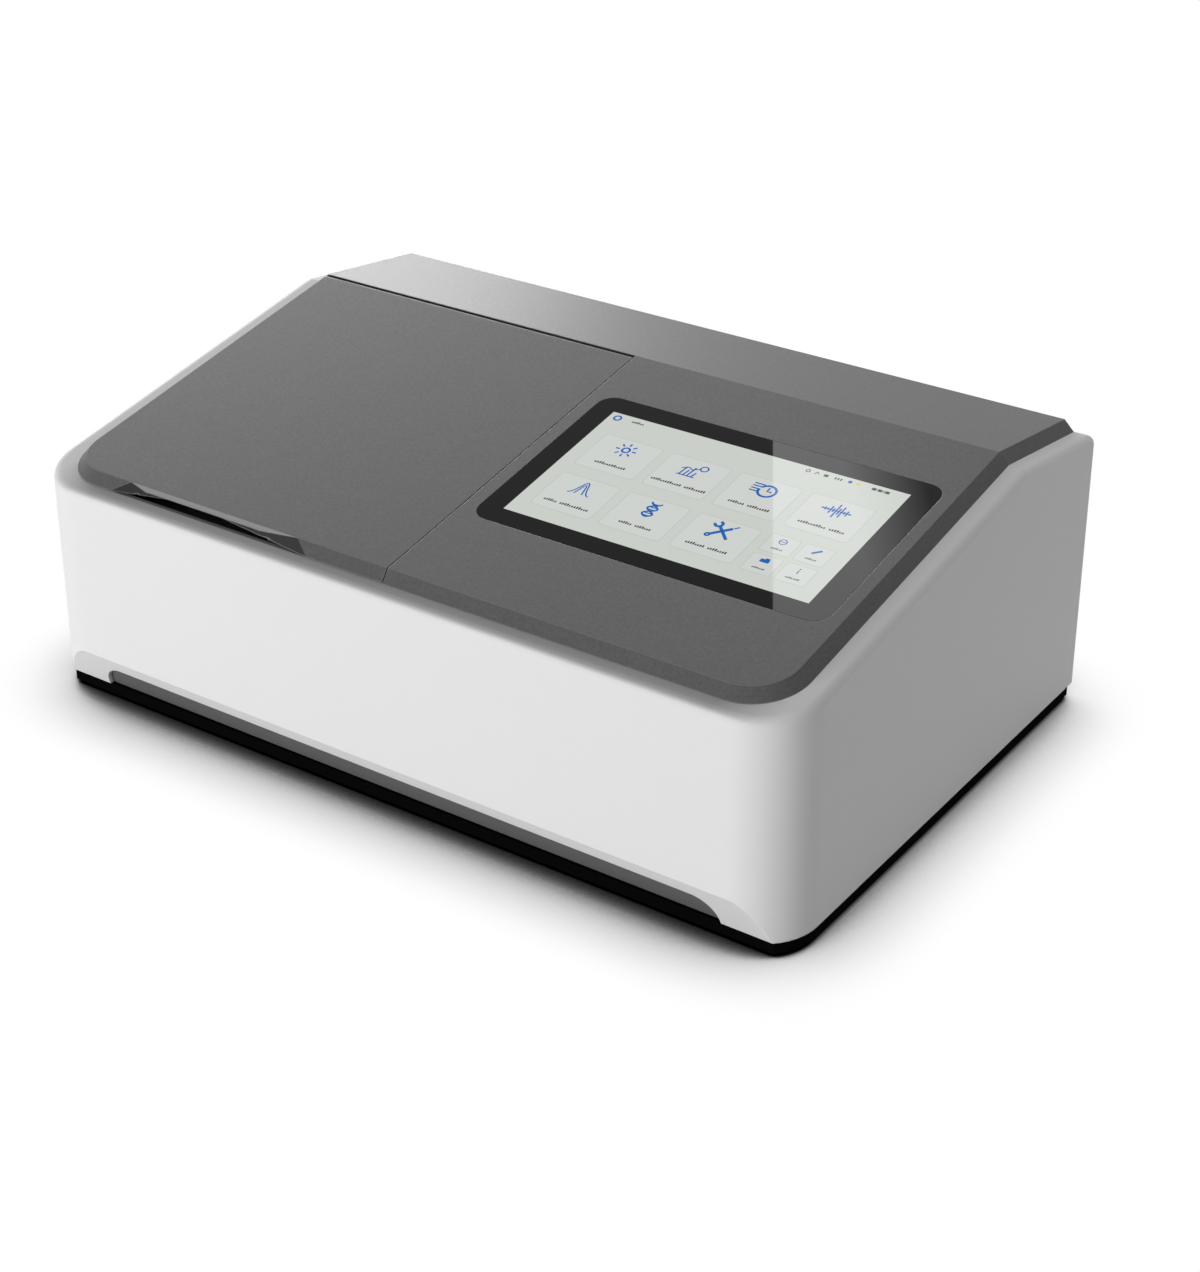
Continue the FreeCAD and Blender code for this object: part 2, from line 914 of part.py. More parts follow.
def lid_liner():
    """Matt black liner that presses on the gasket when the lid is shut."""
    plate = rounded_block(
        (tub_left - 20, tub_right + 20),
        (liner_front, liner_rear),
        (gasket_top + lid_clearance, -cover_wall),
        8,
        8,
    )
    pocket = rounded_block(
        (tub_left + 4, tub_right - 4),
        (liner_front + 18, liner_rear - 18),
        (gasket_top - 1, -cover_wall - 1.2),
        5,
        5,
    )
    return on_slope(plate.cut(pocket))


def lid_magnet():
    """Small magnet under the lid that works the lid sensor."""
    place = slope_point(-34, 24, -cover_wall - 2.5)
    return rod(3, (place.x, place.y, place.z), slope_frame.Rotation.multVec(Z_AXIS), 2.5)


def hinge_brackets():
    """Two fixed knuckles on feet that stand on the deck."""
    shapes = []
    for x in hinge_centres():
        half = hinge_knuckle_width / 2
        knuckle = rod(
            knuckle_radius, slope_point(x - half, hinge_along, -hinge_radius), X_AXIS, 2 * half
        )
        stem = on_slope(
            block(
                (x - half, x + half),
                (hinge_along - knuckle_radius, hinge_along - 0.6),
                (-deck_drop, -hinge_radius),
            )
        )
        foot = on_slope(
            block(
                (x - half, x + half),
                (hinge_along - 14, hinge_along - 0.6),
                (-deck_drop, -deck_drop + 1.5),
            )
        )
        bore = rod(
            hinge_pin_radius,
            slope_point(x - half - 1, hinge_along, -hinge_radius),
            X_AXIS,
            2 * half + 2,
        )
        shapes.append(joined([knuckle, stem, foot]).cut(bore))
    return Part.makeCompound(shapes)


def hinge_pins():
    """Two steel pins through the knuckles."""
    return Part.makeCompound(
        [
            rod(
                hinge_pin_radius,
                slope_point(x - hinge_pin_length / 2, hinge_along, -hinge_radius),
                X_AXIS,
                hinge_pin_length,
            )
            for x in hinge_centres()
        ]
    )


def touch_glass():
    """Cover glass, flush with the panel."""
    return on_slope(
        rounded_block(
            (glass_left, glass_left + glass_width),
            (glass_front, glass_front + glass_height),
            (-glass_thickness, 0),
            glass_radius,
            glass_radius,
        )
    )


def display_outline(grow):
    """Outline of the display panel in the slope frame."""
    return (
        (glass_left + display_margin_x - grow, glass_left + glass_width - display_margin_x + grow),
        (
            glass_front + display_margin_front - grow,
            glass_front + glass_height - display_margin_front + grow,
        ),
    )


display_top = -glass_thickness - glass_gap
display_floor = display_top - display_thickness


def display_panel():
    """Lit display under the glass."""
    return on_slope(block(*display_outline(0), (display_floor, display_top)))


def display_tray():
    """Sheet tray that holds the display against the panel."""
    inner = display_outline(5)
    outer = display_outline(5 + display_tray_wall)
    low = display_floor - display_tray_wall
    tray = block(*outer, (low, -cover_wall))
    return on_slope(tray.cut(block(*inner, (display_floor, 0))))


def display_board():
    """Controller board under the display, on four spacers."""
    low = display_floor - display_tray_wall
    x, y = display_outline(-display_board_inset)
    face = low - display_board_drop
    pieces = [block(x, y, (face - display_board_thickness, face))]
    for offset, side, height in (
        (display_chip_offset, display_chip_side, chip_height),
        ((chip_side + chip_offset[0], display_chip_side), small_chip_side, small_chip_height),
    ):
        px = x[0] + offset[0]
        py = y[0] + offset[1]
        pieces.append(block((px, px + side), (py, py + side), (face - board_solder, face + height)))
    for px in (x[0] + board_margin, x[1] - board_margin):
        for py in (y[0] + board_margin, y[1] - board_margin):
            pieces.append(
                rod(spacer_radius, (px, py, face - spacer_sink), Z_AXIS, low - face + spacer_sink)
            )
    return on_slope(joined(pieces))


# Sample compartment


def compartment_deck():
    """Deck under the lid, seated under the casing's ledge, with the finger pocket."""
    half = skirt_half_width - 1
    plate = rounded_block(
        (-half, half),
        (-skirt_bevel + 2, slope_length + cover_wall),
        (-deck_drop - deck_thickness, -deck_drop),
        cover_corner_radius + skirt_bevel - 2,
        0,
    ).common(block((-far, seam_x(1) + cover_wall + 3), (-far, far), (-far, far)))
    deck = on_slope(plate)
    pocket = finger_pocket(finger_pocket_wall, 0)
    deck = joined([deck, pocket])
    hole = block(
        (tub_left + tub_wall, tub_right - tub_wall),
        (tub_front + tub_wall, tub_rear - tub_wall),
        (0, far),
    )
    rear_corner = on_slope(
        block((-far, -skirt_half_width + cover_seat_width + 1), (slope_length - 1, far), (-far, far))
    )
    trimmed = without(deck, [finger_pocket(0, 60), hole, rear_corner])
    legs = []
    for x in deck_leg_columns:
        for y in deck_leg_rows:
            half = deck_leg_side / 2
            legs.append(block((x - half, x + half), (y - half, y + half), (bench_top, far / 2)))
    above = on_slope(block((-far, far), (-far, far), (-deck_drop, far)))
    return joined([trimmed] + [leg.cut(above) for leg in legs])


def compartment_tub():
    """Black tub of the sample compartment: a floor and four walls, with four beam ports."""
    inner_x = (tub_left + tub_wall, tub_right - tub_wall)
    z = (bench_top + tub_wall, far / 2)
    above = on_slope(block((-far, far), (-far, far), (-deck_drop - deck_thickness, far)))
    plates = [
        block((tub_left, tub_right), (tub_front, tub_rear), (bench_top, z[0])),
        block(inner_x, (tub_front, tub_front + tub_wall), z).cut(above),
        block(inner_x, (tub_rear - tub_wall, tub_rear), z).cut(above),
    ]
    for outer, inner in ((tub_left, inner_x[0]), (tub_right, inner_x[1])):
        x = (min(outer, inner), max(outer, inner))
        wall = block(x, (tub_front, tub_rear), z).cut(above)
        out = X_AXIS * math.copysign(1, outer - inner)
        tools = []
        for y in (sample_row, reference_row):
            start = (outer + out.x, y, beam_height)
            tools.append(rod(port_radius, start, out * -1, tub_wall + 2))
            tools.append(rod(window_radius + window_gap, start, out * -1, window_thickness + 1))
        plates.append(without(wall, tools))
    return Part.makeCompound(plates)


def quartz_windows():
    """Four windows let into the outer faces of the tub."""
    shapes = []
    for y in (sample_row, reference_row):
        shapes.append(rod(window_radius, (tub_left, y, beam_height), X_AXIS, window_thickness))
        start = (tub_right - window_thickness, y, beam_height)
        shapes.append(rod(window_radius, start, X_AXIS, window_thickness))
    return Part.makeCompound(shapes)


def compartment_gasket():
    """Foam ring on the deck around the tub's mouth."""
    x = (tub_left - 3, tub_right + 3)
    y = (liner_front + 5, liner_rear - 5)
    ring = rounded_block(x, y, (-deck_drop, gasket_top), 6, 6)
    inside = rounded_block(
        (x[0] + gasket_width, x[1] - gasket_width),
        (y[0] + gasket_width, y[1] - gasket_width),
        (-far, 0),
        3,
        3,
    )
    return on_slope(ring.cut(inside))


carrier_floor = bench_top + tub_wall
carrier_top = carrier_floor + carrier_thickness


def cell_carrier():
    """Plate on the floor of the tub that carries both cell holders."""
    middle = (sample_row + reference_row) / 2
    plate = rounded_block(
        (cell_centre_x - carrier_half_length, cell_centre_x + carrier_half_length),
        (middle - carrier_half_width, middle + carrier_half_width),
        (carrier_floor, carrier_top),
        6,
        6,
    )
    tools = []
    for y in (sample_row, reference_row):
        for x in (cell_centre_x - holder_side, cell_centre_x + holder_side):
            tools.append(rod(2.2, (x, y, 0), Z_AXIS, 100))
    return without(plate, tools)


def cell_holder(y):
    """Holder for one square cuvette, with a beam window through it and a foot each side."""
    half = holder_side / 2
    body = block(
        (cell_centre_x - half, cell_centre_x + half), (y - half, y + half), (carrier_top, holder_top)
    )
    upright = [edge for edge in body.Edges if edge.BoundBox.ZLength > 20]
    body = body.makeFillet(3, upright)
    foot = rounded_block(
        (cell_centre_x - holder_side - 7, cell_centre_x + holder_side + 7),
        (y - 8, y + 8),
        (carrier_top, carrier_top + 5),
        3,
        3,
    )
    body = joined([body, foot])
    cup = cuvette_side / 2
    cuvette = block(
        (cell_centre_x - cup, cell_centre_x + cup), (y - cup, y + cup), (cuvette_floor, far)
    )
    beam = block(
        (cell_centre_x - holder_side, cell_centre_x + holder_side),
        (y - cell_beam_width / 2, y + cell_beam_width / 2),
        (beam_height - cell_beam_height / 2, beam_height + cell_beam_height / 2),
    )
    tools = [cuvette, beam]
    for x in (cell_centre_x - holder_side, cell_centre_x + holder_side):
        tools.append(rod(2.2, (x, y, 0), Z_AXIS, 100))
    return without(body, tools)


def thumb_screws():
    """Four knurled screws that hold the cell holders down."""
    shapes = []
    low = carrier_top + 5
    for y in (sample_row, reference_row):
        for x in (cell_centre_x - holder_side, cell_centre_x + holder_side):
            head = rod(5.5, (x, y, low), Z_AXIS, 9)
            grooves = []
            for step in range(12):
                angle = math.radians(step * 30)
                centre = (x + 5.9 * math.cos(angle), y + 5.9 * math.sin(angle), low - 1)
                grooves.append(rod(0.9, centre, Z_AXIS, 12))
            shank = rod(2.0, (x, y, carrier_floor + 0.5), Z_AXIS, low - carrier_floor)
            shapes.append(joined([without(head, grooves), shank]))
    return Part.makeCompound(shapes)


def lid_sensor():
    """Closed lid sensor on the deck under the magnet."""
    return on_slope(block((-40, -28), (18, 30), (-deck_drop, -deck_drop + 3.5)))


# Optical bench


def optical_bench():
    """Bench casting: a plate with a rim and crossed ribs under it."""
    x = (bench_left, bench_right)
    y = (bench_front, bench_rear)
    plate = rounded_block(x, y, (bench_bottom, bench_top), 12, 12)
    low = bench_bottom - bench_rib_depth
    rim = rounded_block(x, y, (low, bench_bottom + 1), 12, 12).cut(
        rounded_block(
            (x[0] + bench_rib_width, x[1] - bench_rib_width),
            (y[0] + bench_rib_width, y[1] - bench_rib_width),
            (low - 1, bench_bottom + 2),
            12 - bench_rib_width,
            12 - bench_rib_width,
        )
    )
    ribs = []
    columns = 5
    rows = 4
    for column in range(1, columns):
        middle = x[0] + (x[1] - x[0]) * column / columns
        ribs.append(
            block(
                (middle - bench_rib_width / 2, middle + bench_rib_width / 2),
                (y[0] + 1, y[1] - 1),
                (low, bench_bottom + 1),
            )
        )
    for row in range(1, rows):
        middle = y[0] + (y[1] - y[0]) * row / rows
        ribs.append(
            block(
                (x[0] + 1, x[1] - 1),
                (middle - bench_rib_width / 2, middle + bench_rib_width / 2),
                (low, bench_bottom + 1),
            )
        )
    pads = []
    for px, py in bench_posts_at():
        pads.append(rod(bench_post_radius + 3, (px, py, low), Z_AXIS, bench_rib_depth + 1))
    return joined([plate, rim] + ribs + pads)


def bench_posts_at():
    """The four places where the bench stands on its posts."""
    return [
        (x, y)
        for x in (bench_left + bench_post_inset, bench_right - bench_post_inset)
        for y in (bench_front + bench_post_inset, bench_rear - bench_post_inset)
    ]


def bench_posts():
    """Four posts between the base pan and the bench."""
    high = bench_bottom - bench_rib_depth
    posts = []
    for x, y in bench_posts_at():
        posts.append(rod(bench_post_radius, (x, y, pan_floor), Z_AXIS, high - pan_floor))
    return Part.makeCompound(posts)


# Monochromator


def mono_housing():
    """Box of the monochromator, open at the top, with slit ports and the grating bearing."""
    outer = block((mono_left, mono_right), (mono_front, mono_rear), (bench_top, mono_top))
    inner = block(
        (mono_left + mono_wall, mono_right - mono_wall),
        (mono_front + mono_wall, mono_rear - mono_wall),
        (bench_top + mono_wall, mono_top + 1),
    )
    floor = bench_top + mono_wall
    bearing = rod(9, (grating_x, grating_y, floor - 1), Z_AXIS, 7)
    motor_hole = scan_motor_side / 2 - 4
    tools = [
        rod(grating_shaft_radius + running_gap, (grating_x, grating_y, floor - 2), Z_AXIS, 12),
        block((mono_right - 10, mono_right + 1), (entrance_row - 3, entrance_row + 3), beam_span(8)),
        block((exit_x - 3, exit_x + 3), (mono_front - 1, mono_front + 10), beam_span(8)),
        rod(motor_hole, (screw_x, mono_front - 1, screw_axis_height), Y_AXIS, mono_wall + 2),
    ]
    return without(joined([outer.cut(inner), bearing]), tools)


def beam_span(half):
    """A pair of heights about the beam."""
    return (beam_height - half, beam_height + half)


screw_x = grating_x - sine_arm_length
rod_x = screw_x - guide_rod_offset
drive_front = mono_front + mono_wall
drive_rear = mono_rear - mono_wall
mono_floor = bench_top + mono_wall


def mono_cover():
    """Folded lid of the monochromator."""
    gap = 0.3
    grow = 1.5
    outer = block(
        (mono_left - gap - grow, mono_right + gap + grow),
        (mono_front - gap - grow, mono_rear + gap + grow),
        (mono_top - 10, mono_top + grow),
    )
    inner = block(
        (mono_left - gap, mono_right + gap), (mono_front - gap, mono_rear + gap), (0, mono_top)
    )
    return outer.cut(inner)


def slit(centre, direction, opening_axis):
    """A round slit disc with a fine slot."""
    disc = rod(11, centre, direction, 2)
    if opening_axis == "y":
        slot = block((centre[0] - 5, centre[0] + 5), (centre[1] - 0.3, centre[1] + 0.3), beam_span(6))
    else:
        slot = block((centre[0] - 0.3, centre[0] + 0.3), (centre[1] - 5, centre[1] + 5), beam_span(6))
    return disc.cut(slot)


def slits():
    """Entrance slit on the right wall and exit slit on the front wall."""
    entrance = slit((mono_right, entrance_row, beam_height), X_AXIS, "y")
    leaving = slit((exit_x, mono_front, beam_height), Y_AXIS * -1, "x")
    return Part.makeCompound([entrance, leaving])


def curved_mirror(y, aim):
    """Concave mirror with its tilted back plate and foot, facing +X at rest."""
    depth = 10.0
    blank = block((mirror_plane_x - depth, mirror_plane_x), (y - 17, y + 17), beam_span(17))
    bowl_radius = 240.0
    bowl = Part.makeSphere(bowl_radius, Vector(mirror_plane_x + bowl_radius - 1.2, y, beam_height))
    blank = blank.cut(bowl)
    stem = block(
        (mirror_plane_x - depth, mirror_plane_x - 3), (y - 6, y + 6), (mono_floor + 4, beam_height - 16)
    )
    foot = block(
        (mirror_plane_x - depth - 2, mirror_plane_x + 6), (y - 10, y + 10), (mono_floor, mono_floor + 4)
    )
    head = turned(joined([blank, stem]), (mirror_plane_x, y, 0), Z_AXIS, aim)
    return joined([head, foot])


mirror_aim = math.degrees(math.atan2(entrance_row - grating_y, grating_x - mirror_plane_x)) / 2


def collimating_mirror():
    """Mirror that sends the entrance light to the grating."""
    return curved_mirror(entrance_row + 2, -mirror_aim)


def focusing_mirror():
    """Mirror that sends the grating's light to the exit."""
    return curved_mirror(exit_row - 6, mirror_aim)


def flat_mirror(x, y, low, side, angle, lean):
    """A small flat plate on a post, turned about its upright axis."""
    plate = block((x - 1.5, x + 1.5), (y - side / 2, y + side / 2), beam_span(side / 2))
    post = block((x - 1.5 - lean, x - 1.5), (y - 5, y + 5), (low, beam_height + side / 4))
    foot = rod(8, (x - 1.5 - lean / 2, y, low), Z_AXIS, 4)
    return turned(joined([plate, post, foot]), (x, y, 0), Z_AXIS, angle)


def exit_mirror():
    """Flat mirror that turns the light out through the exit slit."""
    return flat_mirror(exit_x + 2, exit_row, mono_floor, 18, 225, 4)


def grating_table():
    """Turntable with its shaft and the sine arm that ends in a pin."""
    arm_low = screw_axis_height + nut_half_height + arm_gap
    arm_high = arm_low + 5
    shaft = rod(grating_shaft_radius, (grating_x, grating_y, mono_floor - 1.5), Z_AXIS, 36)
    hub = rod(9, (grating_x, grating_y, arm_low), Z_AXIS, 8)
    table_z = mono_floor + 32
    table = rod(grating_table_radius, (grating_x, grating_y, table_z), Z_AXIS, 4)
    outline = (
        (grating_x, grating_y - 7),
        (grating_x, grating_y + 7),
        (screw_x, grating_y + 4),
        (screw_x, grating_y - 4),
    )
    arm = profile_xy(outline, (arm_low, arm_high))
    eye = rod(4, (screw_x, grating_y, arm_low), Z_AXIS, arm_high - arm_low)
    pin_low = arm_low - arm_gap - sine_pin_depth
    pin = rod(sine_pin_radius, (screw_x, grating_y, pin_low), Z_AXIS, arm_high - pin_low)
    neck = rod(7, (grating_x, grating_y, arm_high), Z_AXIS, table_z - arm_high)
    return joined([shaft, hub, neck, table, arm, eye, pin])


def grating():
    """Grating blank in its holder on the turntable, ruled side towards the mirrors."""
    low = mono_floor + 36
    half = grating_side / 2
    blank = block(
        (grating_x, grating_x + grating_thickness),
        (grating_y - half, grating_y + half),
        (low + 3, low + 3 + grating_side),
    )
    holder = block(
        (grating_x + grating_thickness - 2, grating_x + grating_thickness + 3),
        (grating_y - 10, grating_y + 10),
        (low, low + grating_side - 4),
    )
    foot = block((grating_x - 6, grating_x + 11), (grating_y - 10, grating_y + 10), (low, low + 3))
    grooves = []
    for step in range(9):
        y = grating_y - half + 3 + step * 3
        grooves.append(block((grating_x - 1, grating_x + 0.4), (y - 0.3, y + 0.3), (low + 5, low + 31)))
    return without(joined([blank, holder, foot]), grooves)


def lead_screw():
    """Lead screw from the motor's coupling to its rear bearing."""
    start = (screw_x, drive_front - 8, screw_axis_height)
    screw = rod(lead_screw_radius, start, Y_AXIS, drive_rear - drive_front + 6)
    collar_y = drive_front + 9
    collar = rod(5, (screw_x, collar_y, screw_axis_height), Y_AXIS, 3)
    return joined([screw, collar])


def drive_block(y, thickness):
    """Upright block that carries the lead screw and holds the guide rod."""
    body = block(
        (rod_x - 8, screw_x + 8), (y, y + thickness), (mono_floor, screw_axis_height + 7)
    )
    screw_bore = rod(
        lead_screw_radius + running_gap, (screw_x, y - 1, screw_axis_height), Y_AXIS, thickness + 2
    )
    rod_bore = rod(guide_rod_radius, (rod_x, y - 1, screw_axis_height), Y_AXIS, thickness + 2)
    return body.cut(screw_bore).cut(rod_bore)


def drive_bearings():
    """Front and rear bearing blocks of the scan drive."""
    return Part.makeCompound([drive_block(drive_front + 2, 6), drive_block(drive_rear - 8, 6)])


def guide_rod():
    """Rod that keeps the drive nut from turning."""
    start = (rod_x, drive_front + 2, screw_axis_height)
    return rod(guide_rod_radius, start, Y_AXIS, drive_rear - drive_front - 4)


def drive_nut():
    """Drive nut on the lead screw and guide rod, slotted for the pin of the sine arm."""
    y = (grating_y - nut_half_length, grating_y + nut_half_length)
    z = (screw_axis_height - nut_half_height, screw_axis_height + nut_half_height)
    body = block((rod_x - 7, screw_x + 9), y, z)
    upright = [edge for edge in body.Edges if edge.BoundBox.ZLength > 10]
    body = body.makeFillet(2, upright)
    screw_bore = rod(
        lead_screw_radius + running_gap, (screw_x, y[0] - 1, screw_axis_height), Y_AXIS, 22
    )
    rod_bore = rod(guide_rod_radius + running_gap, (rod_x, y[0] - 1, screw_axis_height), Y_AXIS, 22)
    width = sine_pin_radius + sine_pin_gap
    slot = block(
        (screw_x - 8, screw_x + 20),
        (grating_y - width, grating_y + width),
        (z[1] - sine_pin_depth - slot_floor_gap, z[1] + 1),
    )
    return without(body, [screw_bore, rod_bore, slot])


def square_motor(x, z, side, face_y, length, direction):
    """A small square motor whose face is at face_y and whose body lies along +-Y."""
    half = side / 2
    far_end = face_y + direction * length
    y = (min(face_y, far_end), max(face_y, far_end))
    body = block((x - half, x + half), y, (z - half, z + half))
    long_edges = [edge for edge in body.Edges if edge.BoundBox.YLength > length - 1]
    body = body.makeChamfer(3.5, long_edges)
    middle = (y[0] + y[1]) / 2
    groove = block((x - side, x + side), (middle - 8, middle + 8), (z - side, z + side)).cut(
        block((x - half + 0.8, x + half - 0.8), (middle - 9, middle + 9), (z - half + 0.8, z + half - 0.8))
    )
    return body.cut(groove)


def scan_motor():
    """Motor of the scan drive on the front wall of the monochromator."""
    motor = square_motor(
        screw_x, screw_axis_height, scan_motor_side, mono_front, scan_motor_length, -1
    )
    bore = rod(
        lead_screw_radius + 0.3, (screw_x, mono_front - 8, screw_axis_height), Y_AXIS, 9
    )
    return motor.cut(bore)


# Filter wheel and the two beams


wheel_x = exit_x + wheel_pitch_radius


def filter_holes(radius, y, length):
    """Cylinders at the filter places of the wheel."""
    rods = []
    for step in range(filter_count):
        angle = math.radians(180 + step * 360 / filter_count)
        x = wheel_x + wheel_pitch_radius * math.cos(angle)
        z = beam_height + wheel_pitch_radius * math.sin(angle)
        rods.append(rod(radius, (x, y, z), Y_AXIS, length))
    return rods


def filter_wheel():
    """Wheel with six stepped filter seats, a hub and a home flag notch."""
    low = wheel_row - wheel_thickness / 2
    disc = rod(wheel_radius, (wheel_x, low, beam_height), Y_AXIS, wheel_thickness)
    hub = rod(7, (wheel_x, low - 3, beam_height), Y_AXIS, wheel_thickness + 3)
    tools = filter_holes(filter_radius - 1, low - 1, wheel_thickness + 2)
    tools += filter_holes(filter_radius + 0.1, low + 2, wheel_thickness)
    tools.append(rod(2.5, (wheel_x, low - 4, beam_height), Y_AXIS, wheel_thickness + 5))
    tools.append(
        block(
            (wheel_x + wheel_radius - 3, wheel_x + wheel_radius + 2),
            (low - 1, low + wheel_thickness + 1),
            (beam_height - 1.5, beam_height + 1.5),
        )
    )
    shaft = rod(2.5, (wheel_x, low - 12, beam_height), Y_AXIS, wheel_thickness + 12)
    return joined([without(joined([disc, hub]), tools), shaft])


def order_filters():
    """Coloured glass discs in the wheel."""
    return Part.makeCompound(filter_holes(filter_radius, wheel_row - wheel_thickness / 2 + 2, 1.5))


def wheel_motor():
    """Round motor with its bracket, standing on the bench."""
    face = wheel_row - wheel_thickness / 2 - 6
    start = (wheel_x, face - wheel_motor_length, beam_height)
    body = rod(wheel_motor_radius, start, Y_AXIS, wheel_motor_length)
    nose = rod(5, (wheel_x, face, beam_height), Y_AXIS, 2)
    plate = block(
        (wheel_x - 12, wheel_x + 12), (face - 3, face), (bench_top, beam_height - 4)
    )
    foot = block((wheel_x - 12, wheel_x + 12), (face - 22, face), (bench_top, bench_top + 3))
    bore = rod(2.5 + running_gap, (wheel_x, face - 7, beam_height), Y_AXIS, 12)
    return joined([body, nose, plate, foot]).cut(bore)


def beam_splitter():
    """Half mirror that sends the reference beam to the left."""
    return flat_mirror(exit_x, reference_row, bench_top, 24, 135, 4)


def fold_mirror():
    """Mirror that sends the sample beam to the left."""
    return flat_mirror(exit_x, sample_row, bench_top, 24, 135, 4)


def detector(y):
    """One detector: a tube with a flange, facing the compartment, on its stand."""
    face = tub_left - 8
    body = rod(13, (face - 22, y, beam_height), X_AXIS, 22)
    flange = rod(16, (face - 22, y, beam_height), X_AXIS, 4)
    mouth = rod(8, (face - 6, y, beam_height), X_AXIS, 8)
    stand = block((face - 20, face - 12), (y - 8, y + 8), (bench_top, beam_height - 8))
    foot = block((face - 22, face - 2), (y - 12, y + 12), (bench_top, bench_top + 4))
    return joined([body, flange, stand, foot]).cut(mouth)


def preamp_board():
    """Preamplifier board behind the two detectors."""
    x = tub_left - 8 - 22
    board = block((x - 1.6, x), (sample_row - 22, reference_row + 22), (beam_height - 24, beam_height + 26))
    parts = [
        block((x - 4.5, x - 1), (sample_row + 20, sample_row + 34), (beam_height - 6, beam_height + 4)),
        block((x - 10, x - 1), (reference_row + 8, reference_row + 18), (beam_height - 20, beam_height + 0)),
    ]
    return joined([board] + parts)


# Lamp house


def lamp_house():
    """Sheet housing round both lamps, with the light port to the slit."""
    x = (lamp_house_left, lamp_house_right)
    y = (lamp_house_front, lamp_house_rear)
    wall = lamp_house_wall
    outer = block(x, y, (bench_top, mono_top))
    inner = block((x[0] + wall, x[1] - wall), (y[0] + wall, y[1] - wall), (bench_top + wall, far))
    port = rod(8, (x[0] - 1, entrance_row, beam_height), X_AXIS, wall + 2)
    tools = [inner, port]
    for row in range(6):
        z = bench_top + 20 + row * 12
        tools.append(block((x[1] - wall - 1, x[1] + 1), (y[0] + 20, y[1] - 20), (z, z + 3)))
    return without(outer, tools)


def lamp_house_cover():
    """Louvred cover of the lamp house."""
    gap = 0.3
    x = (lamp_house_left - gap - 1.2, lamp_house_right + gap + 1.2)
    y = (lamp_house_front - gap - 1.2, lamp_house_rear + gap + 1.2)
    cover = block(x, y, (mono_top - 8, mono_top + 1.2))
    inner = block((x[0] + 1.2, x[1] - 1.2), (y[0] + 1.2, y[1] - 1.2), (0, mono_top))
    tools = [inner]
    for row in range(9):
        low = lamp_house_front + 16 + row * 10
        tools.append(block((x[0] + 14, x[1] - 14), (low, low + 3.4), (mono_top - 1, mono_top + 3)))
    return without(cover, tools)


lamp_floor = bench_top + lamp_house_wall


def deuterium_lamp():
    """Deuterium lamp: glass envelope with a window nose, on its flanged socket."""
    envelope = rod(deuterium_radius, (source_x, deuterium_y, lamp_floor + 24), Z_AXIS, 50)
    dome = Part.makeSphere(deuterium_radius, Vector(source_x, deuterium_y, lamp_floor + 74))
    nose = rod(5, (source_x, deuterium_y, beam_height), Y_AXIS * -1, deuterium_radius + 3)
    flange = rod(19, (source_x, deuterium_y, lamp_floor + 22), Z_AXIS, 3)
    socket = rod(11, (source_x, deuterium_y, lamp_floor), Z_AXIS, 23)
    return joined([envelope, dome, nose, flange, socket])


def halogen_lamp():
    """Halogen capsule in a ceramic base on a bracket."""
    base = block(
        (source_x - 8, source_x + 8), (halogen_y - 6, halogen_y + 6), (beam_height - 30, beam_height - 12)
    )
    capsule = rod(halogen_radius, (source_x, halogen_y, beam_height - 13), Z_AXIS, 20)
    tip = Part.makeSphere(halogen_radius, Vector(source_x, halogen_y, beam_height + 7))
    stand = block(
        (source_x - 10, source_x + 10), (halogen_y - 9, halogen_y - 6), (lamp_floor, beam_height - 14)
    )
    foot = block(
        (source_x - 10, source_x + 10), (halogen_y - 9, halogen_y + 8), (lamp_floor, lamp_floor + 3)
    )
    return joined([base, capsule, tip, stand, foot])


def source_motor():
    """Small motor under the source mirror."""
    low = lamp_floor
    body = rod(12, (source_x, entrance_row, low), Z_AXIS, 18)
    nose = rod(4, (source_x, entrance_row, low + 18), Z_AXIS, 2)
    bore = rod(2 + running_gap, (source_x, entrance_row, low + 6), Z_AXIS, 20)
    return joined([body, nose]).cut(bore)


def source_mirror():
    """Mirror on its shaft, turned to send one lamp or the other to the slit."""
    low = lamp_floor
    shaft = rod(2, (source_x, entrance_row, low + 8), Z_AXIS, 18)
    hub = rod(5, (source_x, entrance_row, low + 20.5), Z_AXIS, 6)
    back = block(
        (source_x + 1.5, source_x + 4), (entrance_row - 9, entrance_row + 9), (low + 24, beam_height + 12)
    )
    plate = block((source_x - 1.5, source_x + 1.6), (entrance_row - 13, entrance_row + 13), beam_span(16))
    return turned(joined([shaft, hub, back, plate]), (source_x, entrance_row, 0), Z_AXIS, -45)


# Electronics


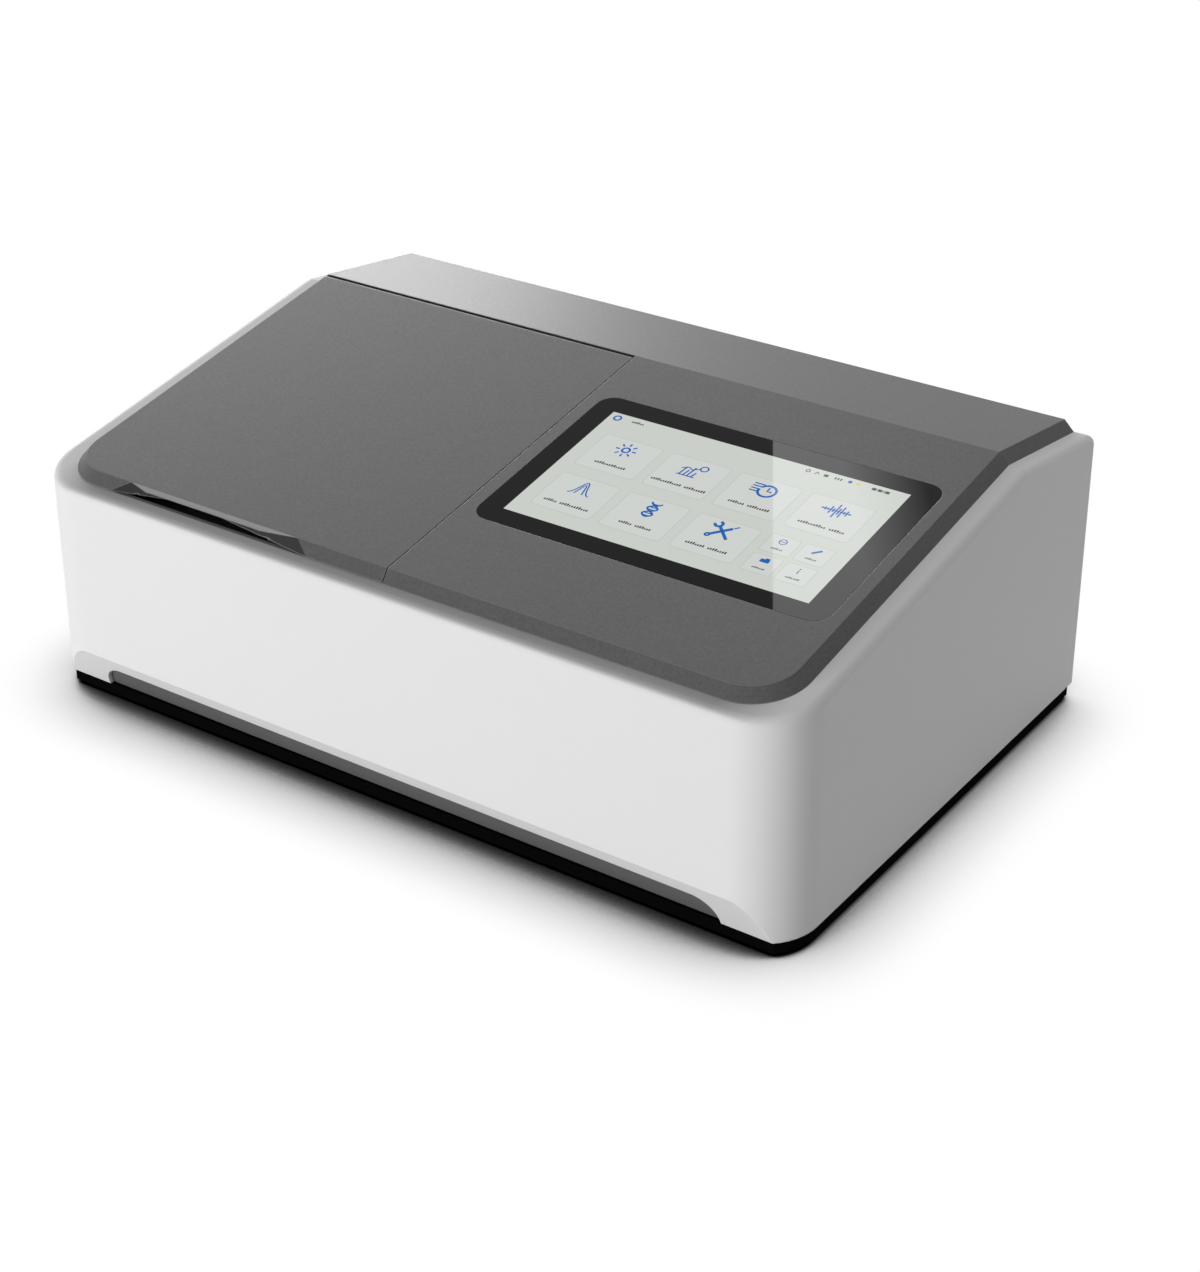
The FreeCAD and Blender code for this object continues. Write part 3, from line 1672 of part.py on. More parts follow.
def main_board():
    """Main board on six spacers over the bench, with its sockets at the rear edge."""
    x = (board_left, board_left + board_width)
    y = (board_rear - board_length, board_rear)
    low = bench_top + board_lift
    pieces = [block(x, y, (low, board_top))]
    for px in (x[0] + board_margin, x[1] - board_margin):
        for py in (y[0] + board_margin, (y[0] + y[1]) / 2, y[1] - 2 * board_margin):
            pieces.append(
                rod(spacer_radius, (px, py, bench_top), Z_AXIS, board_lift + spacer_sink)
            )
    for offset, across, along, height in (
        (chip_offset, chip_side, chip_side, chip_height),
        (small_chip_offset, small_chip_side, small_chip_side, small_chip_height),
        (header_offset, header_length, header_width, header_height),
    ):
        px = x[0] + offset[0]
        py = y[0] + offset[1]
        pieces.append(
            block((px, px + across), (py, py + along), (board_top - board_solder, board_top + height))
        )
    for step in range(5):
        place = (
            x[0] + capacitor_offset[0] + step * capacitor_pitch,
            y[0] + capacitor_offset[1],
            board_top - board_solder,
        )
        pieces.append(rod(capacitor_radius, place, Z_AXIS, capacitor_height))
    return joined(pieces)


def port_block(x, width, y, low, high):
    """A block centred on a port, with heights counted from the main board."""
    return block((x - width / 2, x + width / 2), y, (board_top + low, board_top + high))


def port_trapezium(x, shrink, y):
    """The slanted shield of the nine way connector, or its inside when shrunk."""
    middle = board_top + pin_plate_height / 2
    half = pin_skirt_height / 2 - shrink
    top = pin_skirt_top / 2 - shrink
    low = pin_skirt_low / 2 - shrink
    return profile_xz(
        (
            (x - top, middle + half),
            (x + top, middle + half),
            (x + low, middle - half),
            (x - low, middle - half),
        ),
        y,
    )


def data_ports():
    """Two flat sockets, one square socket and one nine way connector at the rear edge."""
    shell_y = (port_front, panel_y + panel_thickness + port_stand_out)
    mouth_y = (port_front + 4, rear_y)
    tongue_y = (port_front + 2, panel_y)
    shapes = []
    for x, width, height, wall, tongue_width, tongue_low, tongue_high in (
        (flat_port_x[0], flat_port_width, flat_port_height, port_wall,
         flat_tongue_width, flat_tongue_low, flat_tongue_high),
        (flat_port_x[1], flat_port_width, flat_port_height, port_wall,
         flat_tongue_width, flat_tongue_low, flat_tongue_high),
        (square_port_x, square_port_width, square_port_height, square_port_wall,
         square_tongue_width, square_tongue_low, square_tongue_high),
    ):
        shell = port_block(x, width, shell_y, 0, height)
        mouth = port_block(x, width - 2 * wall, mouth_y, wall, height - wall)
        tongue = port_block(x, tongue_width, tongue_y, tongue_low, tongue_high)
        shapes.append(joined([shell.cut(mouth), tongue]))
    x = pin_port_x
    plate = port_block(
        x, pin_plate_width, (panel_y - pin_plate_thickness, panel_y), 0, pin_plate_height
    )
    inset = (pin_plate_height - pin_body_height) / 2
    body = port_block(
        x, pin_body_width, (port_front + 2, panel_y), inset, pin_plate_height - inset
    )
    skirt = port_trapezium(x, 0, (panel_y - pin_plate_thickness, wall_y + 2.4))
    bore = port_trapezium(x, pin_skirt_wall, (panel_y + 0.2, rear_y))
    shapes.append(joined([plate, body, skirt]).cut(bore))
    return Part.makeCompound(shapes)


def power_supply():
    """Enclosed power supply on the base pan, with a pierced cover and a terminal strip."""
    x = (supply_right - supply_width, supply_right)
    y = (supply_front, supply_front + supply_length)
    top = pan_floor + supply_height
    case = block(x, y, (pan_floor, top))
    tools = [
        block(
            (x[0] + supply_wall, x[1] - supply_wall),
            (y[0] + supply_wall, y[1] - terminal_depth - 2),
            (pan_floor + supply_floor, top - supply_wall),
        ),
        block(
            (x[0] + terminal_margin, x[1] - terminal_margin),
            (y[1] - terminal_depth, y[1] + 1),
            (pan_floor + terminal_low, top + 1),
        ),
    ]
    for column in range(6):
        for row in range(9):
            place = (x[0] + 16 + column * vent_pitch_x, y[0] + 20 + row * vent_pitch_y, top - 3)
            tools.append(rod(vent_radius, place, Z_AXIS, 5))
    return without(case, tools)


# Rear panel


def rear_panel():
    """Steel panel inside the casing's rear window, cut for everything it carries."""
    panel = block((panel_left, panel_right), (panel_y, wall_y), (panel_bottom, panel_top))
    low = panel_y - 1
    deep = panel_thickness + 2
    tools = [rod(fan_bore_radius, (fan_x, low, fan_z), Y_AXIS, deep)]
    for dx in (-1, 1):
        for dz in (-1, 1):
            centre = (fan_x + dx * fan_hole_pitch / 2, low, fan_z + dz * fan_hole_pitch / 2)
            tools.append(rod(screw_radius + screw_clearance, centre, Y_AXIS, deep))
    cut_y = (low, wall_y + 1)
    tools.append(
        block(
            (inlet_x - inlet_width / 2 + 1.2, inlet_x + inlet_width / 2 - 1.2),
            cut_y,
            (inlet_z - inlet_height / 2 + 1.2, inlet_z + inlet_height / 2 - 1.2),
        )
    )
    tools.append(
        block(
            (inlet_x - switch_width / 2 + 1.2, inlet_x + switch_width / 2 - 1.2),
            cut_y,
            (switch_z - switch_height / 2 + 1.2, switch_z + switch_height / 2 - 1.2),
        )
    )
    tools.append(
        block(
            (inlet_x - fuse_half_width - 0.3, inlet_x + fuse_half_width + 0.3),
            cut_y,
            (fuse_z - fuse_half_height - 0.3, fuse_z + fuse_half_height + 0.3),
        )
    )
    for x, width, height in (
        (flat_port_x[0], flat_port_width, flat_port_height),
        (flat_port_x[1], flat_port_width, flat_port_height),
        (square_port_x, square_port_width, square_port_height),
    ):
        tools.append(port_block(x, width + 2 * port_gap, cut_y, -port_gap, height + port_gap))
    tools.append(port_trapezium(pin_port_x, -port_gap, cut_y))
    for column in range(14):
        x = -130 + column * 9
        tools.append(block((x, x + 3), cut_y, (panel_bottom + 70, panel_top - 26)))
    for column in range(8):
        x = 90 + column * 7
        tools.append(block((x, x + 3), cut_y, (panel_top - 50, panel_top - 20)))
    return without(panel, tools)


def panel_screws():
    """Screws round the edge of the rear panel and at the fan's corners."""
    shapes = []
    for dx in (-1, 1):
        for dz in (-1, 1):
            centre = (fan_x + dx * fan_hole_pitch / 2, fan_z + dz * fan_hole_pitch / 2)
            shank = rod(screw_radius, (centre[0], panel_y - 8, centre[1]), Y_AXIS, 11)
            head = rod(panel_head_radius, (centre[0], wall_y + 1.2, centre[1]), Y_AXIS, 1.4)
            shapes.append(joined([shank, head]))
    return Part.makeCompound(shapes)


def fan_frame():
    """Square fan frame with a spider that carries the bearing."""
    y = (panel_y - fan_depth, panel_y)
    half = fan_side / 2
    frame = block((fan_x - half, fan_x + half), y, (fan_z - half, fan_z + half))
    upright = [edge for edge in frame.Edges if edge.BoundBox.YLength > fan_depth - 1]
    frame = frame.makeFillet(5, upright)
    duct = rod(fan_bore_radius, (fan_x, y[0] - 1, fan_z), Y_AXIS, fan_depth + 2)
    waist = block(
        (fan_x - half - 1, fan_x + half + 1), (y[0] + 4, y[1] - 4), (fan_z - half - 1, fan_z + half + 1)
    ).cut(rod(fan_bore_radius + 2, (fan_x, y[0], fan_z), Y_AXIS, fan_depth))
    corners = []
    for dx in (-1, 1):
        for dz in (-1, 1):
            corners.append(rod(5, (fan_x + dx * 34, y[0], fan_z + dz * 34), Y_AXIS, fan_depth))
    frame = frame.cut(waist)
    frame = joined([frame] + corners).cut(duct)
    hub = rod(fan_hub_radius, (fan_x, y[0], fan_z), Y_AXIS, 3)
    arms = []
    for step in range(4):
        arm = block((fan_x + 5, fan_x + fan_bore_radius + 1.5), (y[0], y[0] + 3), (fan_z - 2, fan_z + 2))
        arms.append(turned(arm, (fan_x, 0, fan_z), Y_AXIS, 45 + step * 90))
    spindle = rod(4, (fan_x, y[0], fan_z), Y_AXIS, 8)
    bore = rod(1.5 + running_gap, (fan_x, y[0] + 1, fan_z), Y_AXIS, 12)
    holes = []
    for dx in (-1, 1):
        for dz in (-1, 1):
            centre = (fan_x + dx * fan_hole_pitch / 2, y[0] - 1, fan_z + dz * fan_hole_pitch / 2)
            holes.append(rod(screw_radius + screw_clearance, centre, Y_AXIS, fan_depth + 2))
    return without(joined([frame, hub, spindle] + arms), [bore] + holes)


def fan_rotor():
    """Fan rotor: a cup on a shaft with seven curved, twisted blades."""
    y0 = panel_y - fan_depth + 4
    y1 = panel_y - 2
    cup = rod(fan_hub_radius, (fan_x, y0, fan_z), Y_AXIS, y1 - y0)
    well = rod(fan_hub_radius - 2, (fan_x, y0 - 1, fan_z), Y_AXIS, y1 - y0 - 1)
    shaft = rod(1.5, (fan_x, y0 - 2, fan_z), Y_AXIS, y1 - y0)
    blades = []
    chord = 15.0
    for step in range(fan_blades):
        sections = []
        for reach, twist in ((fan_hub_radius - 1.5, 48.0), (27.0, 40.0), (fan_tip_radius - 1, 32.0)):
            middle = (y0 + y1) / 2
            tilt = math.radians(twist)
            run = Vector(0, math.cos(tilt), math.sin(tilt)) * (chord / 2)
            lift = Vector(0, -math.sin(tilt), math.cos(tilt))
            centre = Vector(reach, middle, 0)
            nose = centre - run
            tail = centre + run
            upper = Part.Arc(nose, centre + lift * 2.6, tail).toShape()
            lower = Part.Arc(tail, centre + lift * 1.2, nose).toShape()
            sections.append(Part.Wire([upper, lower]))
        blade = Part.makeLoft(sections, True, False)
        blade = shifted(blade, fan_x, 0, fan_z)
        blades.append(turned(blade, (fan_x, 0, fan_z), Y_AXIS, step * 360 / fan_blades))
    return joined([cup.cut(well), shaft] + blades)


def fan_guard():
    """Wire guard over the fan, outside the panel."""
    rings = []
    for radius in guard_radii:
        centre = Vector(fan_x, wall_y + 2.6 * guard_wire, fan_z)
        rings.append(Part.makeTorus(radius, guard_wire, centre, Y_AXIS))
    reach = fan_hole_pitch / 2 * math.sqrt(2)
    hole = rod(screw_radius + screw_clearance, (fan_x + reach, wall_y - 1, fan_z), Y_AXIS, 4)
    spoke_start = guard_radii[0] - 1
    spoke = rod(
        guard_wire,
        (fan_x + spoke_start, wall_y + 1.1 * guard_wire, fan_z),
        X_AXIS,
        reach - panel_head_radius - 0.2 - spoke_start,
    )
    eye = rod(4, (fan_x + reach, wall_y, fan_z), Y_AXIS, 1.2)
    arm = joined([spoke, eye]).cut(hole)
    arms = [turned(arm, (fan_x, 0, fan_z), Y_AXIS, 45 + step * 90) for step in range(4)]
    return joined(rings + arms)


def power_inlet():
    """Mains inlet: a flanged body with a deep socket and three blades."""
    half_w = inlet_width / 2
    half_h = inlet_height / 2
    flange = rounded_flange(inlet_x, inlet_z, half_w + 2, half_h + 2)
    body = block(
        (inlet_x - half_w + 1.5, inlet_x + half_w - 1.5),
        (panel_y - inlet_depth, wall_y + 0.5),
        (inlet_z - half_h + 1.5, inlet_z + half_h - 1.5),
    )
    mouth_y = wall_y + 2
    socket = block(
        (inlet_x - socket_width / 2, inlet_x + socket_width / 2),
        (mouth_y - socket_depth, mouth_y + 1),
        (inlet_z - socket_height / 2, inlet_z + socket_height / 2),
    )
    lower = [
        edge
        for edge in socket.Edges
        if edge.BoundBox.YLength > 10 and edge.BoundBox.ZMax < inlet_z
    ]
    socket = socket.makeChamfer(4, lower)
    blades = []
    for dx, dz in ((-7, -2), (0, 2), (7, -2)):
        blades.append(
            block(
                (inlet_x + dx - 1, inlet_x + dx + 1),
                (mouth_y - socket_depth - 1, mouth_y - socket_pin_recess),
                (inlet_z + dz - 2, inlet_z + dz + 2),
            )
        )
    return joined([joined([flange, body]).cut(socket)] + blades)


def rounded_flange(x, z, half_w, half_h):
    """A thin flange with rounded corners on the outside of the rear panel."""
    flange = block((x - half_w, x + half_w), (wall_y, wall_y + 2), (z - half_h, z + half_h))
    corners = [edge for edge in flange.Edges if edge.BoundBox.YLength > 1]
    return flange.makeFillet(2.5, corners)


def switch_housing():
    """Frame and body of the power switch."""
    half_w = switch_width / 2
    half_h = switch_height / 2
    flange = rounded_flange(inlet_x, switch_z, half_w + 1, half_h + 1)
    body = block(
        (inlet_x - half_w + 1.5, inlet_x + half_w - 1.5),
        (wall_y - switch_depth, wall_y + 0.5),
        (switch_z - half_h + 1.5, switch_z + half_h - 1.5),
    )
    well = block(
        (inlet_x - rocker_width / 2 - 0.4, inlet_x + rocker_width / 2 + 0.4),
        (wall_y - 12, rear_y),
        (switch_z - rocker_height / 2 - 0.8, switch_z + rocker_height / 2 + 0.8),
    )
    pins = []
    for side in (-1, 1):
        start = (inlet_x + side * (rocker_width / 2 + 0.9), rocker_axis_y, switch_z)
        pins.append(rod(1.2, start, X_AXIS * -side, 2.4))
    return joined([joined([flange, body]).cut(well)] + pins)


rocker_axis_y = rear_y - 6.5


def power_rocker():
    """Rocker, a shallow V in profile, resting with its upper half in."""
    half = rocker_height / 2
    out_y = rear_y - 1.6
    outline = (
        (rocker_axis_y - 4, switch_z - half + 3),
        (out_y - 0.2, switch_z - half + 0.6),
        (out_y - 2.6, switch_z),
        (out_y - 0.2, switch_z + half - 0.6),
        (rocker_axis_y - 4, switch_z + half - 3),
    )
    x = (inlet_x - rocker_width / 2, inlet_x + rocker_width / 2)
    body = profile_yz(outline, x)
    bore = rod(1.2 + running_gap, (x[0] - 1, rocker_axis_y, switch_z), X_AXIS, rocker_width + 2)
    body = body.cut(bore)
    return turned(body, (0, rocker_axis_y, switch_z), X_AXIS, rocker_angle / 2)


def fuse_drawer():
    """Fuse drawer between inlet and switch."""
    flange = rounded_flange(inlet_x, fuse_z, 12, 3.4)
    body = block(
        (inlet_x - fuse_half_width, inlet_x + fuse_half_width),
        (wall_y - 24, wall_y + 1),
        (fuse_z - fuse_half_height, fuse_z + fuse_half_height),
    )
    return joined([flange, body])


makers = {
    "casing_shell": casing_shell,
    "base_pan": base_pan,
    "front_bar": front_bar,
    "rubber_feet": feet,
    "pan_screws": pan_screws,
    "top_cover": top_cover,
    "touch_glass": touch_glass,
    "display_panel": display_panel,
    "display_tray": display_tray,
    "display_board": display_board,
    "sample_lid": sample_lid,
    "lid_liner": lid_liner,
    "lid_magnet": lid_magnet,
    "hinge_brackets": hinge_brackets,
    "hinge_pins": hinge_pins,
    "lid_sensor": lid_sensor,
    "compartment_deck": compartment_deck,
    "compartment_tub": compartment_tub,
    "compartment_gasket": compartment_gasket,
    "quartz_windows": quartz_windows,
    "cell_carrier": cell_carrier,
    "sample_cell_holder": lambda: cell_holder(sample_row),
    "reference_cell_holder": lambda: cell_holder(reference_row),
    "thumb_screws": thumb_screws,
    "optical_bench": optical_bench,
    "bench_posts": bench_posts,
    "mono_housing": mono_housing,
    "mono_cover": mono_cover,
    "mono_slits": slits,
    "mono_mirrors": lambda: Part.makeCompound([collimating_mirror(), focusing_mirror()]),
    "exit_mirror": exit_mirror,
    "grating_table": grating_table,
    "grating": grating,
    "lead_screw": lead_screw,
    "drive_nut": drive_nut,
    "drive_bearings": drive_bearings,
    "guide_rod": guide_rod,
    "scan_motor": scan_motor,
    "filter_wheel": filter_wheel,
    "order_filters": order_filters,
    "wheel_motor": wheel_motor,
    "beam_mirrors": lambda: Part.makeCompound([beam_splitter(), fold_mirror()]),
    "detectors": lambda: Part.makeCompound([detector(sample_row), detector(reference_row)]),
    "preamp_board": preamp_board,
    "lamp_house": lamp_house,
    "lamp_house_cover": lamp_house_cover,
    "lamps": lambda: Part.makeCompound([deuterium_lamp(), halogen_lamp()]),
    "source_motor": source_motor,
    "source_mirror": source_mirror,
    "main_board": main_board,
    "data_ports": data_ports,
    "power_supply": power_supply,
    "rear_panel": rear_panel,
    "panel_screws": panel_screws,
    "fan_frame": fan_frame,
    "fan_rotor": fan_rotor,
    "fan_guard": fan_guard,
    "power_inlet": lambda: Part.makeCompound([power_inlet(), fuse_drawer()]),
    "switch_housing": switch_housing,
    "power_rocker": power_rocker,
}


def main():
    """Build every piece and write it out."""
    os.makedirs("parts", exist_ok=True)
    for name, maker in makers.items():
        shape = maker()
        solids = shape.Solids
        valid = shape.isValid() and all(solid.isClosed() for solid in solids)
        print(name, len(solids), "solids", "ok" if valid else "NOT VALID")
        shape.exportStep("parts/" + name + ".step")


main()
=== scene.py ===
"""Double beam spectrophotometer: finishes, display face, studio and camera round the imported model."""

from __future__ import annotations

import json
import logging
import math
from dataclasses import dataclass, field
from enum import Enum

import bmesh
import bpy
from mathutils import Matrix, Vector

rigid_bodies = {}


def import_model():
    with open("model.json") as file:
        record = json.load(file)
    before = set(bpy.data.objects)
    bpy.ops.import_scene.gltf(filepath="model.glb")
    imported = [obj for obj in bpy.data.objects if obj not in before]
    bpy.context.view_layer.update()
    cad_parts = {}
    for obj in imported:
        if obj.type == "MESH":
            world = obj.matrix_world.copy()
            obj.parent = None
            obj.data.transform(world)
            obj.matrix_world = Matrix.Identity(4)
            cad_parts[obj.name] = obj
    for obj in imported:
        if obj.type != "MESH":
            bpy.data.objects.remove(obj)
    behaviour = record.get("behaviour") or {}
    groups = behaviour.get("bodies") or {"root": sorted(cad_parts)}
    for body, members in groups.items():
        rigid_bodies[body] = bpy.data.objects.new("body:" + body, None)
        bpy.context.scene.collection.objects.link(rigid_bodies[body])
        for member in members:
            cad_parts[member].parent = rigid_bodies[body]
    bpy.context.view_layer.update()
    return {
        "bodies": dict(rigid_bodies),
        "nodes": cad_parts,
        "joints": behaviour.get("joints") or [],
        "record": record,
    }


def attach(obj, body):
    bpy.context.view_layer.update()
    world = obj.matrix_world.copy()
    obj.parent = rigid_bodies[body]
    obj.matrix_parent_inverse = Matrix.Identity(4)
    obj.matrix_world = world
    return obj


log = logging.getLogger("spectrophotometer")

MM = 0.001
COVER_FRONT_Y = -181.8
COVER_FRONT_HEIGHT = 174.1
COVER_SLOPE = math.radians(9.82)

Colour = tuple[float, float, float]
Point = tuple[float, float]
Outline = list[Point]
Words = tuple[float, ...]

SLOW_SCALE = 9.0
BLOTCH_SCALE = 30.0
DUST_SCALE = 60.0
TRACK_SCALE = 90.0
GLOW_SCALE = 6.0
PIT_SHARE = 0.6
DUST_TONE: Colour = (0.55, 0.54, 0.52)
# Lighter tone mixed into rounded edges as a painted highlight.
PAINTED_HIGHLIGHT_TONE: Colour = (0.22, 0.22, 0.22)
BLACK_TONE: Colour = (0.0, 0.0, 0.0)

# Where faces of the casing and the lid take painted shade or a painted highlight.
# Places are in metres, and facings are parts of the normal.
UNDERCUT_FACING = (-0.9, -0.3)
LEDGE_BACK_Y = -0.172
LEDGE_ENDS_X = (0.285, 0.245)
LEDGE_FACING = (0.4, 0.8)
SCOOP_X = (-0.238, -0.058)
SCOOP_BACK_Y = -0.178
SCOOP_END_FACING = 0.05
SCOOP_LIP_FACING = -0.93


def slope_matrix() -> Matrix:
    """Gives the placement of the sloping top's frame: x across, y up the slope, z off the surface.

    Returns:
        The matrix from that frame, in metres, to the object's frame.
    """
    origin = Vector((0.0, COVER_FRONT_Y, COVER_FRONT_HEIGHT)) * MM
    return Matrix.Translation(origin) @ Matrix.Rotation(COVER_SLOPE, 4, "X")


class Nodes:
    """Adds shader nodes to a tree and joins them, with less writing."""

    def __init__(self, tree: bpy.types.NodeTree) -> None:
        """Keeps the tree and empties it.

        Args:
            tree: the node tree to fill.
        """
        self.tree = tree
        tree.nodes.clear()

    def add(self, kind: str, **settings: object) -> bpy.types.Node:
        """Adds one node.

        Args:
            kind: the node's type name.
            settings: properties to set, or input sockets by name with spaces as underscores.

        Returns:
            The new node.
        """
        node = self.tree.nodes.new(kind)
        for key, value in settings.items():
            if hasattr(node, key):
                setattr(node, key, value)
            else:
                self.set(node, key.replace("_", " "), value)
        return node

    def set(self, node: bpy.types.Node, name: str, value: object) -> None:
        """Gives an input socket a value, or a link when the value is another node's socket.

        Args:
            node: the node with the socket.
            name: the socket's name.
            value: a number, colour, vector or output socket.
        """
        socket = node.inputs[name]
        if isinstance(value, bpy.types.NodeSocket):
            self.tree.links.new(value, socket)
        elif isinstance(value, tuple) and len(value) == 3 and socket.type == "RGBA":
            socket.default_value = (*value, 1.0)
        else:
            socket.default_value = value

    def link(self, source: bpy.types.NodeSocket, target: bpy.types.NodeSocket) -> None:
        """Joins an output to an input."""
        self.tree.links.new(source, target)

    def mix(
        self,
        factor: bpy.types.NodeSocket | float,
        first: bpy.types.NodeSocket | Colour,
        second: bpy.types.NodeSocket | Colour,
        blend: str = "MIX",
    ) -> bpy.types.NodeSocket:
        """Mixes two colours.

        Args:
            factor: share of the second colour.
            first: the first colour or its socket.
            second: the second colour or its socket.
            blend: the blend mode.

        Returns:
            The mixed colour's socket.
        """
        node = self.tree.nodes.new("ShaderNodeMix")
        node.data_type = "RGBA"
        node.blend_type = blend
        for socket, value in zip((node.inputs[0], node.inputs[6], node.inputs[7]), (factor, first, second)):
            if isinstance(value, bpy.types.NodeSocket):
                self.tree.links.new(value, socket)
            elif isinstance(value, tuple):
                socket.default_value = (*value, 1.0)
            else:
                socket.default_value = value
        return node.outputs[2]

    def maths(
        self,
        operation: str,
        first: bpy.types.NodeSocket | float,
        second: bpy.types.NodeSocket | float = 0.0,
    ) -> bpy.types.NodeSocket:
        """Adds a maths node.

        Args:
            operation: what it works out.
            first: the first number or its socket.
            second: the second number or its socket.

        Returns:
            The result's socket.
        """
        node = self.tree.nodes.new("ShaderNodeMath")
        node.operation = operation
        for socket, value in zip(node.inputs, (first, second)):
            if isinstance(value, bpy.types.NodeSocket):
                self.tree.links.new(value, socket)
            else:
                socket.default_value = value
        return node.outputs[0]


class Effect(Enum):
    """Shared surface effects, each a node group."""

    GRAIN = "fine grain"
    BRUSHED = "brushed lines"
    DUST = "dust on upward faces"
    SHADE = "shade on faces that lean under and on the front ledge"
    # Painted highlight on the scoop's lip and painted shade in its slanted ends.
    SCOOP = "worn lip and dark ends of the finger scoop"


def new_group(effect: Effect, inputs: dict[str, object], outputs: dict[str, str]) -> bpy.types.NodeTree:
    """Makes an empty node group with named sockets.

    Args:
        effect: names the group.
        inputs: socket name to default value; a tuple is a colour and a number is a value.
        outputs: socket name to socket type.

    Returns:
        The group's tree.
    """
    tree = bpy.data.node_groups.new(effect.value, "ShaderNodeTree")
    for name, value in inputs.items():
        kind = "NodeSocketColor" if isinstance(value, tuple) else "NodeSocketFloat"
        socket = tree.interface.new_socket(name, in_out="INPUT", socket_type=kind)
        socket.default_value = (*value, 1.0) if isinstance(value, tuple) else value
    for name, kind in outputs.items():
        tree.interface.new_socket(name, in_out="OUTPUT", socket_type=kind)
    return tree


def grain_group() -> bpy.types.NodeTree:
    """Builds the moulded grain: fine pits, a faint speckle and slow changes of tone.

    Returns:
        The group, with Colour and Height outputs.
    """
    tree = new_group(
        Effect.GRAIN,
        {"Colour": (0.5, 0.5, 0.5), "Speckle": 0.1, "Drift": 0.05, "Scale": 1800.0},
        {"Colour": "NodeSocketColor", "Height": "NodeSocketFloat"},
    )
    n = Nodes(tree)
    given = n.add("NodeGroupInput")
    place = n.add("ShaderNodeTexCoord").outputs["Object"]
    scale = given.outputs["Scale"]
    fine = n.add("ShaderNodeTexNoise", Vector=place, Scale=scale, Detail=3.0, Roughness=0.65)
    pits = n.add("ShaderNodeTexVoronoi", Vector=place, Scale=scale)
    slow = n.add("ShaderNodeTexNoise", Vector=place, Scale=SLOW_SCALE, Detail=2.0)
    centred = n.maths("SUBTRACT", fine.outputs[0], 0.5)
    speckle = n.maths("MULTIPLY", centred, given.outputs["Speckle"])
    drift = n.maths("MULTIPLY", n.maths("SUBTRACT", slow.outputs[0], 0.5), given.outputs["Drift"])
    tone = n.maths("ADD", n.maths("ADD", speckle, drift), 1.0)
    grey = n.add("ShaderNodeCombineColor", Red=tone, Green=tone, Blue=tone)
    height = n.maths("ADD", fine.outputs[0], n.maths("MULTIPLY", pits.outputs["Distance"], PIT_SHARE))
    out = n.add("NodeGroupOutput")
    n.link(n.mix(1.0, given.outputs["Colour"], grey.outputs[0], "MULTIPLY"), out.inputs["Colour"])
    n.link(height, out.inputs["Height"])
    return tree


def brushed_group() -> bpy.types.NodeTree:
    """Builds straight brushed lines along X with a slow change of tone.

    Returns:
        The group, with Colour, Roughness and Height outputs.
    """
    tree = new_group(
        Effect.BRUSHED,
        {"Colour": (0.6, 0.6, 0.6), "Roughness": 0.35, "Strength": 0.15, "Scale": 900.0},
        {"Colour": "NodeSocketColor", "Roughness": "NodeSocketFloat", "Height": "NodeSocketFloat"},
    )
    n = Nodes(tree)
    given = n.add("NodeGroupInput")
    place = n.add("ShaderNodeTexCoord").outputs["Object"]
    stretched = n.add("ShaderNodeMapping", Vector=place, Scale=(0.02, 1.0, 1.0))
    scale = given.outputs["Scale"]
    lines = n.add("ShaderNodeTexNoise", Vector=stretched.outputs[0], Scale=scale, Detail=2.0)
    blotch = n.add("ShaderNodeTexNoise", Vector=place, Scale=BLOTCH_SCALE, Detail=3.0)
    offset = n.maths("SUBTRACT", lines.outputs[0], 0.5)
    cloud = n.maths("MULTIPLY", n.maths("SUBTRACT", blotch.outputs[0], 0.5), 0.5)
    change = n.maths("MULTIPLY", n.maths("ADD", offset, cloud), given.outputs["Strength"])
    tone = n.maths("ADD", change, 1.0)
    grey = n.add("ShaderNodeCombineColor", Red=tone, Green=tone, Blue=tone)
    out = n.add("NodeGroupOutput")
    n.link(n.mix(1.0, given.outputs["Colour"], grey.outputs[0], "MULTIPLY"), out.inputs["Colour"])
    n.link(n.maths("ADD", given.outputs["Roughness"], change), out.inputs["Roughness"])
    n.link(lines.outputs[0], out.inputs["Height"])
    return tree


def dust_group() -> bpy.types.NodeTree:
    """Builds a thin film of dust that lies on faces that look up.

    Returns:
        The group, with Colour and Roughness outputs.
    """
    tree = new_group(
        Effect.DUST,
        {"Colour": (0.5, 0.5, 0.5), "Roughness": 0.5, "Amount": 0.05},
        {"Colour": "NodeSocketColor", "Roughness": "NodeSocketFloat"},
    )
    n = Nodes(tree)
    given = n.add("NodeGroupInput")
    where = n.add("ShaderNodeTexCoord")
    up = n.add("ShaderNodeSeparateXYZ", Vector=where.outputs["Normal"])
    facing = n.maths("POWER", n.maths("MAXIMUM", up.outputs["Z"], 0.0), 3.0)
    cloud = n.add("ShaderNodeTexNoise", Vector=where.outputs["Object"], Scale=DUST_SCALE, Detail=4.0)
    share = n.maths("MULTIPLY", n.maths("MULTIPLY", facing, cloud.outputs[0]), given.outputs["Amount"])
    out = n.add("NodeGroupOutput")
    n.link(n.mix(share, given.outputs["Colour"], DUST_TONE), out.inputs["Colour"])
    n.link(n.maths("ADD", given.outputs["Roughness"], share), out.inputs["Roughness"])
    return tree


def between(n: Nodes, value: bpy.types.NodeSocket, low: float, high: float) -> bpy.types.NodeSocket:
    """Gives 1 where a value lies between two limits, else 0.

    Args:
        n: the nodes to add to.
        value: the value's socket.
        low: the lower limit.
        high: the upper limit.

    Returns:
        The mask's socket.
    """
    return n.maths("MULTIPLY", n.maths("GREATER_THAN", value, low), n.maths("LESS_THAN", value, high))


